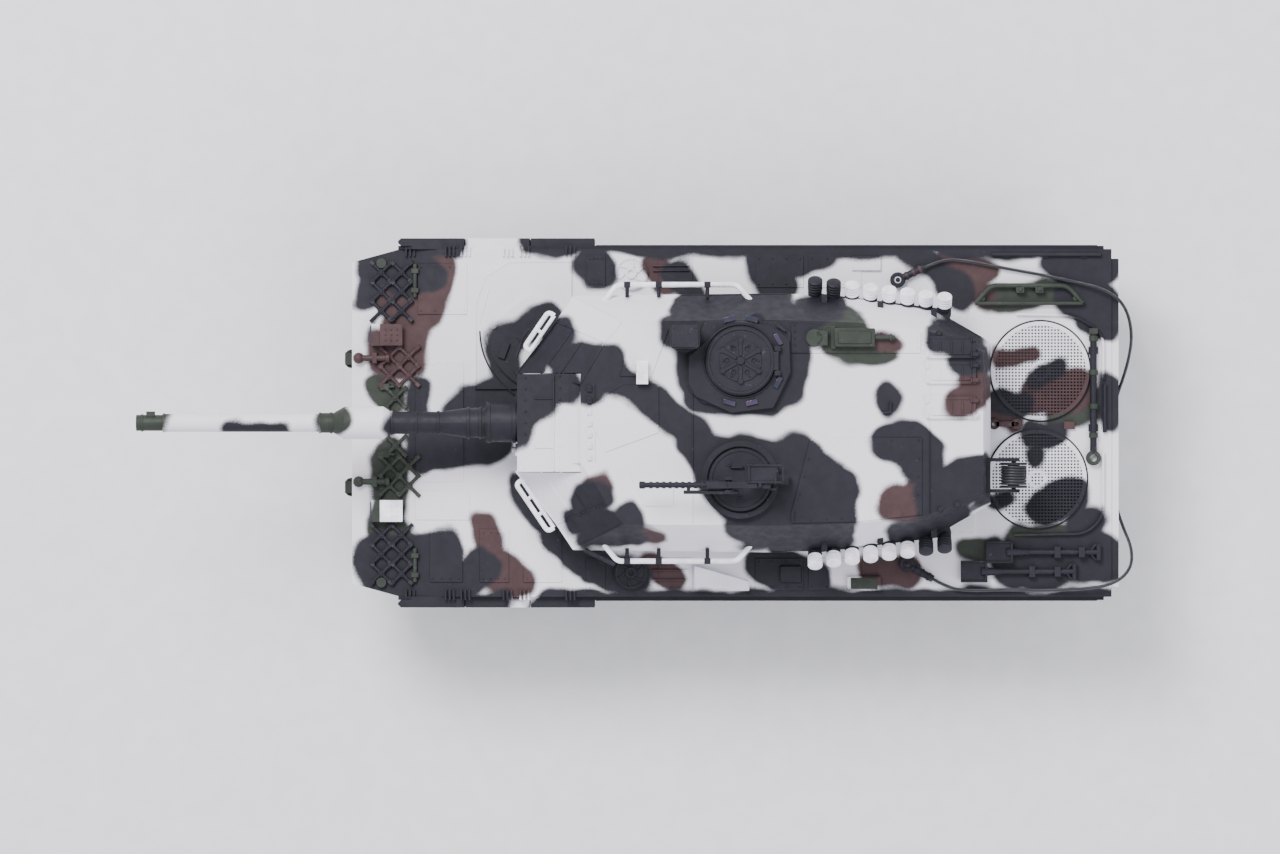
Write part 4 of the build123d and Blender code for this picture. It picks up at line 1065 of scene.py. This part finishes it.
def launcher_caps():
    """Two banks of smoke launchers: dark ribbed tubes with white or dark caps."""
    black = Mesh()
    white = Mesh()
    lean = radians(50)
    tube = []
    for start in (0, 1.7, 3.4):
        tube += [(start, 2.9), (start + 1.1, 2.9), (start + 1.25, 2.4), (start + 1.65, 2.4)]
    tube.append((5.2, 2.4))
    ribbed_cap = [(5.0, 2.2)]
    for k in range(4):
        start = 5.1 + 1.3 * k
        ribbed_cap += [(start, 2.7), (start + 0.4, 3.05), (start + 0.9, 3.05), (start + 1.2, 2.6)]
    ribbed_cap.append((10.5, 1.6))
    for side in sides:
        out = Vector((0, side * sin(lean), cos(lean)))
        for index in range(8):
            x = -129.5 + index * 7.6
            foot = Vector((x, side * launcher_y(x), 86))
            black.turned(tube, foot, out, 28)
            capped_dark = index > 5 if side < 0 else index < 2
            cap = black if capped_dark else white
            cap.turned(ribbed_cap, foot, out, 28)
    black.piece("launchers_dark", "turret", dark_paint, "dark_camo", 0.1)
    white.piece("launchers_white", "turret", white_paint, "camo", 0.1)


def launcher_bars():
    """Mounting bars of the two launcher banks."""
    mesh = Mesh()
    for side in sides:
        start, end = [Vector((x, side * (launcher_y(x) + 0.5), 88)) for x in (-132, -73.5)]
        turn = degrees(atan2(end.y - start.y, end.x - start.x))
        mesh.box((start + end) / 2, ((end - start).length, 4, 3.4), turn=turn)
        for x in (-125, -103, -80):
            mesh.box((x, side * (launcher_y(x) - 1), 92), (2.4, 6, 5))
    made = mesh.piece("launcher_bars", "turret", dark_paint, "dark_camo", 0.15)
    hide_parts("smoke_launchers")


def reel():
    """Cable reel on the bustle, wound with a dark lead."""
    axis_at = Vector((-157.7, 21.5, 95.0))
    drum = Mesh()
    drum.turned([
        (-7.0, 0.95), (-5.2, 0.95), (-5.2, 5.5), (-4.2, 5.5), (-4.2, 2.4), (4.2, 2.4), (4.2, 5.5),
        (5.2, 5.5), (5.2, 0.95), (7.0, 0.95),
    ], axis_at, (0, 1, 0), 40)
    made = drum.piece("reel_drum", "cable_reel", dark_paint, "dark_camo", 0.12)
    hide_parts("cable_reel")
    winding = Mesh()
    wire = 0.55
    for layer in range(3):
        radius = 2.4 + wire * (1 + 1.75 * layer)
        count = 7 if layer % 2 == 0 else 6
        for k in range(count):
            offset = (k - (count - 1) / 2) * 2 * wire * 1.04
            places = [polar((0, 0), radius, angle) for angle in range(0, 360, 10)]
            turn = [axis_at + Vector((x, offset, z)) for x, z in places]
            winding.tube(turn, wire, 8, closed=True)
    winding.piece("reel_winding", "cable_reel", black_plastic, "black_plastic", 0)


def commander_station():
    """Star, bolts and rim on the commander's lid, and periscopes round its ring."""
    lid_low, lid_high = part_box("commander_hatch")
    top = lid_high.z / MM
    mesh = Mesh()
    for angle in range(30, 390, 60):
        out = Vector((cos(radians(angle)), sin(radians(angle)), 0))
        centre = Vector((*commander, top + 0.25)) + out * 5.2
        mesh.box(centre, (6.4, 1.3, 0.7), turn=angle)
        tip = centre + out * 3.2
        mesh.rod(tip - Vector((0, 0, 0.2)), tip + Vector((0, 0, 0.4)), 1.1, 16)
        mesh.dome((*polar(commander, 7.2, angle - 30), top + 0.1), 0.6)
    mesh.rod((*commander, top - 0.2), (*commander, top + 0.7), 1.6, 20)
    mesh.ring(commander, 13.6, 12.6, top - 0.7, top - 0.1, 64)
    mesh.piece("commander_lid_star", "commander_hatch", dark_paint, "dark_camo", 0.12)
    rim = Mesh()
    rim.ring(commander, 15.4, 14.5, roof + 2.9, roof + 3.5, 72)
    rim.plate([
        (-24.2, -28), (-24.2, -13), (-30, -8), (-45, -4.6), (-59, -6.6), (-66, -20), (-66, -37),
        (-60, -41.4), (-31, -41.4),
    ], roof, roof + 1.3)
    rim.piece("commander_rim", "turret", dark_paint, "dark_camo", 0.3)
    scopes = Mesh()
    for angle in (-150, -105, -75, 75, 105, 150):
        scopes.box((*polar(commander, 17.6, angle), roof + 3.4), (2.0, 5.0, 1.2), turn=angle)
    scopes.piece("commander_periscopes", "turret", glass, "black_plastic", 0.15)


def loader_station():
    """Bolts, grip and rim of the loader's lid."""
    low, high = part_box("loader_hatch")
    top = high.z / MM
    mesh = Mesh()
    for k in range(5):
        place = polar(loader, 8.2, 72 * k + 18)
        mesh.rod((*place, top - 0.1), (*place, top + 0.35), 1.3, 18)
        mesh.dome((*place, top + 0.35), 0.5)
    mesh.ring(loader, 12.4, 11.5, top - 0.1, top + 0.35, 64)
    grip = ((4, 0), (4, 1.1), (-1, 1.1), (-1, 0))
    mesh.pipe([(loader[0] + dx, loader[1] - 5, top + dz) for dx, dz in grip], 0.7, 0.45, 8)
    mesh.piece("loader_lid_details", "loader_hatch", dark_paint, "dark_camo", 0.1)


def machine_gun_details():
    """Barrel jacket, sights, cocking bar and the box for the belt."""
    mesh = Mesh()
    y, z = loader[1] + 2.1, roof + 14.6
    muzzle = loader[0] + 41.2
    for k in range(9):
        x = muzzle - 4 - k * 2.6
        mesh.rod((x, y, z), (x - 1.3, y, z), 1.4, 16)
    mesh.rod((muzzle - 2.2, y, z), (muzzle, y, z), 1.5, 16)
    mesh.box((muzzle - 3.4, y, z + 1.6), (0.8, 0.5, 1.6))
    mesh.rod((-22, y + 2.9, z - 0.6), (-44, y + 2.9, z - 0.6), 0.75, 12)
    for x in (-24, -42):
        mesh.box((x, y + 1.7, z - 0.6), (1.4, 3.0, 1.4))
    mesh.box((-46, y, z + 2.0), (12, 2.6, 0.9))
    mesh.box((-53, y, z + 2.3), (1.2, 1.8, 1.6))
    for side in sides:
        mesh.rod((-57.2, y + side * 1.6, z - 0.4), (-59.8, y + side * 1.6, z - 0.4), 0.55, 10)
    mesh.piece("machine_gun_details", "machine_gun", dark_paint, "dark_camo", 0.08)
    box = Mesh()
    x, y = loader[0] - 8.4, y - 4.6
    for dy in (-3.4, 3.4):
        box.box((x - 1.5, y + dy, roof + 17.3), (15, 0.8, 1.0))
    for dx in (-7.2, 6.6):
        box.box((x - 1.5 + dx, y, roof + 17.3), (0.9, 6.8, 1.0))
    box.piece("belt_box_rim", "machine_gun", dark_paint, "dark_camo", 0.1)


def sight_details():
    """Window, top plate and bolts of the commander's sight head."""
    low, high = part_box("panoramic_sight")
    top = high.z / MM
    window = Mesh()
    window.box((sight[0] + 5.7, sight[1], roof + 12), (0.5, 6.8, 4.4))
    window.piece("sight_window", "panoramic_sight", glass, "black_plastic", 0.05)
    mesh = Mesh()
    mesh.box((*sight, top + 0.2), (11, 9, 0.7))
    corners = [(sight[0] + dx, sight[1] + dy) for dx in (-4.4, 4.4) for dy in (-3.4, 3.4)]
    bolts(mesh, [(*corner, top + 0.5) for corner in corners], 0.45)
    for z in (roof + 2.2, roof + 6.6):
        mesh.ring(sight, 6.5, 6.0, z, z + 0.7, 48)
    mesh.piece("sight_head_details", "panoramic_sight", dark_paint, "dark_camo", 0.12)


def gun_details():
    """Bands, clamps and bolts along the barrel and the mantlet."""
    mesh = Mesh()
    for x, radius, width in (
        (46.5, 8.3, 1.6), (57.0, 8.3, 1.4), (60.6, 6.6, 1.2), (65.5, 6.6, 1.2), (78.0, 5.0, 1.0),
        (87.0, 4.9, 1.0), (97.0, 4.9, 1.0), (122.0, 4.4, 1.0), (126.6, 4.3, 0.9), (168.0, 3.95, 0.8),
        (190.6, 3.9, 1.0), (199.6, 3.6, 0.9),
    ):
        mesh.rod((x, 0, gun_axis_z), (x + width, 0, gun_axis_z), radius, 36)
    for angle in range(0, 360, 45):
        mesh.dome((58.6, *polar((0, gun_axis_z), 8.1, angle)), 0.5)
    mesh.box((196.5, -3.6, gun_axis_z + 1.5), (3.6, 2.2, 1.8))
    mesh.piece("barrel_bands", "gun", gun_camo, "camo", 0.12)
    block = Mesh()
    for x, y0, y1 in ((28.5, -19, 19), (42.5, -18.5, 18.5)):
        for place in row((x, y0, 0), (x, y1, 0), 9):
            z = 108 - (place.x - 20) * 5 / 26
            block.dome((place.x, place.y, z + 0.05), 0.55)
    block.box((31, 0, 106.3), (0.7, 39.4, 0.7), tilt=11)
    for side in sides:
        block.box((35, side * 10, 105.3), (8, 0.7, 0.7), tilt=11)
    block.box((46.2, 11, 98), (1.2, 5, 4))
    block.rod((46, 11, 98), (48.2, 11, 98), 1.2, 16)
    block.piece("mantlet_details", "gun", gun_camo, "camo", 0.08)


# ---------------------------------------------------------------- tracks and wheels

track_middle_y = 57.5
link_count = 82
wheel_xs = [60.0 - 34.3 * index for index in range(7)]
wheel_height = 18.5
wheel_inner_y = 45.6
idler = (89.5, 35.0)
sprocket = (-175.5, 36.0)
# the circles that the belt runs round: x, z and radius
belt_circles = [
    (wheel_xs[-1], wheel_height, 15.0), (wheel_xs[0], wheel_height, 15.0),
    (*idler, 12.9), (*sprocket, 14.2),
]


def belt_line(offset, step=0.5):
    """Places and headings round the track, at an offset outside the wheels' rims."""
    points = []
    runs = []
    for (x0, z0, r0), (x1, z1, r1) in zip(belt_circles, belt_circles[1:] + belt_circles[:1]):
        length = hypot(x1 - x0, z1 - z0)
        along = Vector(((x1 - x0) / length, (z1 - z0) / length))
        lean = (r0 - r1) / length
        across = sqrt(1 - lean ** 2)
        normal = Vector((lean * along.x + across * along.y, lean * along.y - across * along.x))
        start = Vector((x0, z0)) + normal * (r0 + offset)
        end = Vector((x1, z1)) + normal * (r1 + offset)
        runs.append((start, end, atan2(normal.y, normal.x)))
    for index, (start, end, angle) in enumerate(runs):
        count = max(2, int((end - start).length / step))
        points += [start.lerp(end, k / count) for k in range(count)]
        x, z, radius = belt_circles[(index + 1) % 4]
        next_angle = runs[(index + 1) % 4][2]
        turn = (next_angle - angle) % (2 * pi)
        count = max(2, int(turn * (radius + offset) / step))
        for k in range(count):
            place = polar((x, z), radius + offset, degrees(angle + turn * k / count))
            points.append(Vector(place))
    return points


def even_places(points, count, closed=True):
    """Evenly spaced (place, direction) pairs along a line of points."""
    line = points + points[:1] if closed else points
    marks = [0.0]
    for a, b in zip(line, line[1:]):
        marks.append(marks[-1] + (b - a).length)
    places = []
    index = 0
    for k in range(count if closed else count + 1):
        want = marks[-1] * k / count
        while index < len(line) - 2 and marks[index + 1] < want:
            index += 1
        share = (want - marks[index]) / (marks[index + 1] - marks[index])
        places.append((line[index].lerp(line[index + 1], share), line[index + 1] - line[index]))
    return places


def track(side_name, side):
    """One rubber track: belt, pads, end connectors and pin bosses."""
    belt = Mesh()
    belt_steps = 600
    for y0, y1 in ((-12.2, -8.9), (-5.0, 7.6), (11.4, 12.2)):
        rings = []
        for offset, y in ((0.7, y0), (2.2, y0), (2.2, y1), (0.7, y1)):
            y_at = side * (track_middle_y + y)
            places = even_places(belt_line(offset), belt_steps)
            rings.append([belt.bm.verts.new((p.x, y_at, p.y)) for p, direction in places])
        belt.join(rings, closed=True)
    pads = Mesh()
    pad_width = 8.6
    steel_parts = Mesh()
    for place, direction in even_places(belt_line(1.75), link_count):
        heading = atan2(direction.y, direction.x)
        tilt = -degrees(heading)
        normal = Vector((sin(heading), 0, -cos(heading)))
        centre = Vector((place.x, 0, place.y))
        for y in (-6.2, 6.2):
            y_at = side * (track_middle_y + y)
            where = centre + normal * 0.75 + Vector((0, y_at, 0))
            pads.box(where, (5.6, pad_width, 1.9), tilt=tilt)
            pads.box(where + normal * 0.15, (3.6, pad_width - 1.8, 1.9), tilt=tilt)
        ahead = Vector((cos(heading), 0, sin(heading)))
        pin = centre + ahead * 3.6
        for y0, y1 in ((-12.4, -9.6), (-1.3, 1.3), (9.6, 12.4)):
            near, far = [pin + Vector((0, side * (track_middle_y + y), 0)) for y in (y0, y1)]
            steel_parts.rod(near, far, 1.35, 12)
            steel_parts.box((near + far) / 2, (4.4, y1 - y0, 2.0), tilt=tilt)
        horn = centre - normal * 1.6 + Vector((0, side * track_middle_y, 0))
        steel_parts.box(horn, (2.4, 1.6, 1.3), tilt=tilt)
    for mesh, name, material, slot_name in (
        (belt, f"track_belt_{side_name}", track_rubber, "rubber"),
        (pads, f"track_pads_{side_name}", track_rubber, "rubber"),
        (steel_parts, f"track_connectors_{side_name}", steel, "steel"),
    ):
        made = mesh.piece(name, "hull", material, slot_name, 0.2 if mesh is pads else 0)
        if mesh is belt:
            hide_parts(f"track_{side_name}")


def bolt_circle(mesh, centre, radius, y, side, count, size, first=0.0):
    """Hexagon bolts round a wheel's axis at (x, z), on a face that looks outward."""
    for k in range(count):
        x, z = polar(centre, radius, 360 * (k + first) / count)
        mesh.rod((x, side * y, z), (x, side * (y + size[1]), z), size[0], 6)


def road_wheel(side_name, side, number, x):
    """A double road wheel with rubber tyres, dished rims, hub cap and bolts."""
    node = f"road_wheel_{side_name}_{number}"
    origin = Vector((x, side * wheel_inner_y, wheel_height))
    axis = (0, side, 0)
    tyres = Mesh()
    for start in (0.0, 13.7):
        tyres.turned([
            (start + 0.3, 11.4), (start + 0.1, 13.6), (start + 0.9, 14.6), (start + 9.2, 14.6),
            (start + 10.0, 13.6), (start + 9.8, 11.4),
        ], origin, axis, 64)
    made = tyres.piece(f"tyres_{side_name}_{number}", node, tyre_rubber, "tyre", 0)
    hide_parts(node)
    rim = Mesh()
    rim.turned([
        (0.2, 11.6), (0.2, 10.2), (3.0, 9.2), (3.4, 5.2), (1.0, 4.6), (0.6, 2.2), (16.0, 2.2),
        (22.6, 2.4), (23.0, 4.4), (20.6, 5.2), (20.2, 9.2), (23.0, 10.2), (23.6, 10.6), (23.6, 11.6),
        (13.7, 11.6), (13.7, 9.8), (10.1, 9.8), (10.1, 11.6),
    ], origin, axis, 64)
    bolt_circle(rim, (x, wheel_height), 7.2, wheel_inner_y + 20.5, side, 10, (0.75, 0.7))
    bolt_circle(rim, (x, wheel_height), 3.2, wheel_inner_y + 22.9, side, 6, (0.5, 0.6), 0.5)
    rim.piece(f"wheel_rims_{side_name}_{number}", node, dark_paint, "dark_camo", 0)


def idler_details(side_name, side):
    """Ribs and bolts on the front idler's face."""
    mesh = Mesh()
    face = 67.0
    bolt_circle(mesh, idler, 7.6, face, side, 8, (0.8, 0.9))
    origin = Vector((idler[0], side * face, idler[1]))
    mesh.turned([(0, 4.0), (2.2, 3.6), (2.9, 2.6), (2.9, 0.4)], origin, (0, side, 0), 40)
    mesh.piece(f"idler_details_{side_name}", f"idler_{side_name}", dark_paint, "dark_camo", 0)


def sprocket_details(side_name, side):
    """Bolts and hub cap on the drive sprocket's face."""
    mesh = Mesh()
    bolt_circle(mesh, sprocket, 11.0, 67.4, side, 10, (0.9, 0.8))
    origin = Vector((sprocket[0], side * 66.9, sprocket[1]))
    mesh.turned([(0, 3.8), (2.0, 3.4), (2.4, 2.4), (2.4, 0.4)], origin, (0, side, 0), 40)
    mesh.piece(f"sprocket_details_{side_name}", f"sprocket_{side_name}", dark_paint, "dark_camo", 0)


# ---------------------------------------------------------------- tow cable


def tow_cable():
    """A twisted wire rope along the cable's line, six strands round a core."""
    rope = Mesh()
    strands = 6
    strand_radius = 0.235
    lay_radius = cable_radius - strand_radius
    lay_length = 7.0           # one turn of a strand round the core
    step = 0.5
    line = [point / MM for point in cable_line]
    whole = line_length(line)
    count = int(whole / step)
    fine = [place for place, direction in even_places(line, count, closed=False)]
    up = Vector((0, 0, 1))
    frames = []
    for k, point in enumerate(fine):
        tangent = (fine[min(k + 1, count)] - fine[max(k - 1, 0)]).normalized()
        up = (up - tangent * up.dot(tangent)).normalized()
        frames.append((point, up.copy(), tangent.cross(up), whole * k / count))
    rope.tube(fine, lay_radius, 10)
    for strand in range(strands):
        path = []
        for point, first, second, along in frames:
            angle = 2 * pi * (strand / strands + along / lay_length)
            path.append(point + (first * cos(angle) + second * sin(angle)) * lay_radius)
        rope.tube(path, strand_radius, 6)
    made = rope.piece("tow_cable_rope", "hull", wire_steel, "cable_steel", 0, 80)
    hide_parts("tow_cable")
    return made


def cable_sleeves():
    """Crimped sleeves and pins on the two eyes of the tow cable."""
    sleeves = []
    ends = (
        ("right", (-110.94, -59.14), cable_route[0], brown_paint),
        ("left", (-114.91, 58.55), cable_route[-1], dark_paint),
    )
    for name, eye, end, material in ends:
        mesh = Mesh()
        z = end[2]
        start = Vector((*eye, z))
        along = (Vector(end) - start).normalized()
        for at in (3.6, 6.6, 9.6):
            middle = start + along * at
            mesh.rod(middle, middle + along * 1.1, 1.75, 24)
        sleeves.append(mesh.piece(f"cable_sleeve_{name}", "hull", material, "dark_camo", 0.12))
        bolt = Mesh()
        bolt.rod((*eye, z - 1), (*eye, z + 1.2), 0.95, 20)
        bolt.dome((*eye, z + 1.2), 1.1, 0.5)
        bolt.piece(f"cable_stud_{name}", "hull", dark_paint, "dark_camo", 0.1)
    return sleeves


# ---------------------------------------------------------------- putting it together


def pale_floor():
    """A plain pale floor under the model."""
    n = Nodes("floor")
    grain = n.noise(90, 4)
    colour = n.mix(n.spread(grain, 0.3, 0.7), (0.84, 0.84, 0.86), (0.88, 0.88, 0.90))
    material = n.finish(colour, n.spread(grain, 0.2, 0.8, 0.75, 0.85))
    mesh = bpy.data.meshes.new("floor")
    reach = 3.0
    corners = [(-reach, -reach, 0), (reach, -reach, 0), (reach, reach, 0), (-reach, reach, 0)]
    mesh.from_pydata(corners, [], [(0, 1, 2, 3)])
    mesh.materials.append(material)
    floor = bpy.data.objects.new("floor", mesh)
    floor.location = (0, 0, -0.0002)
    show(floor)


hull_panels()
driver_area()
driver_hatch_relief()
ice_cleats()
front_fittings()
skirt_fittings()
fan_mesh()
rear_deck_fittings()
tool_details()
cap_relief()
fender_boxes()
rear_face()
roof_plates()
roof_devices()
sight_window()
lid_latches()
cheek_lines()
carrying_handles()
rail_supports()
launcher_caps()
launcher_bars()
reel()
commander_station()
loader_station()
machine_gun_details()
sight_details()
gun_details()
for side_name, side in (("left", 1), ("right", -1)):
    track(side_name, side)
    idler_details(side_name, side)
    sprocket_details(side_name, side)
    for number, x in enumerate(wheel_xs, start=1):
        road_wheel(side_name, side, number, x)
rope = tow_cable()
sleeves = cable_sleeves()
pale_floor()
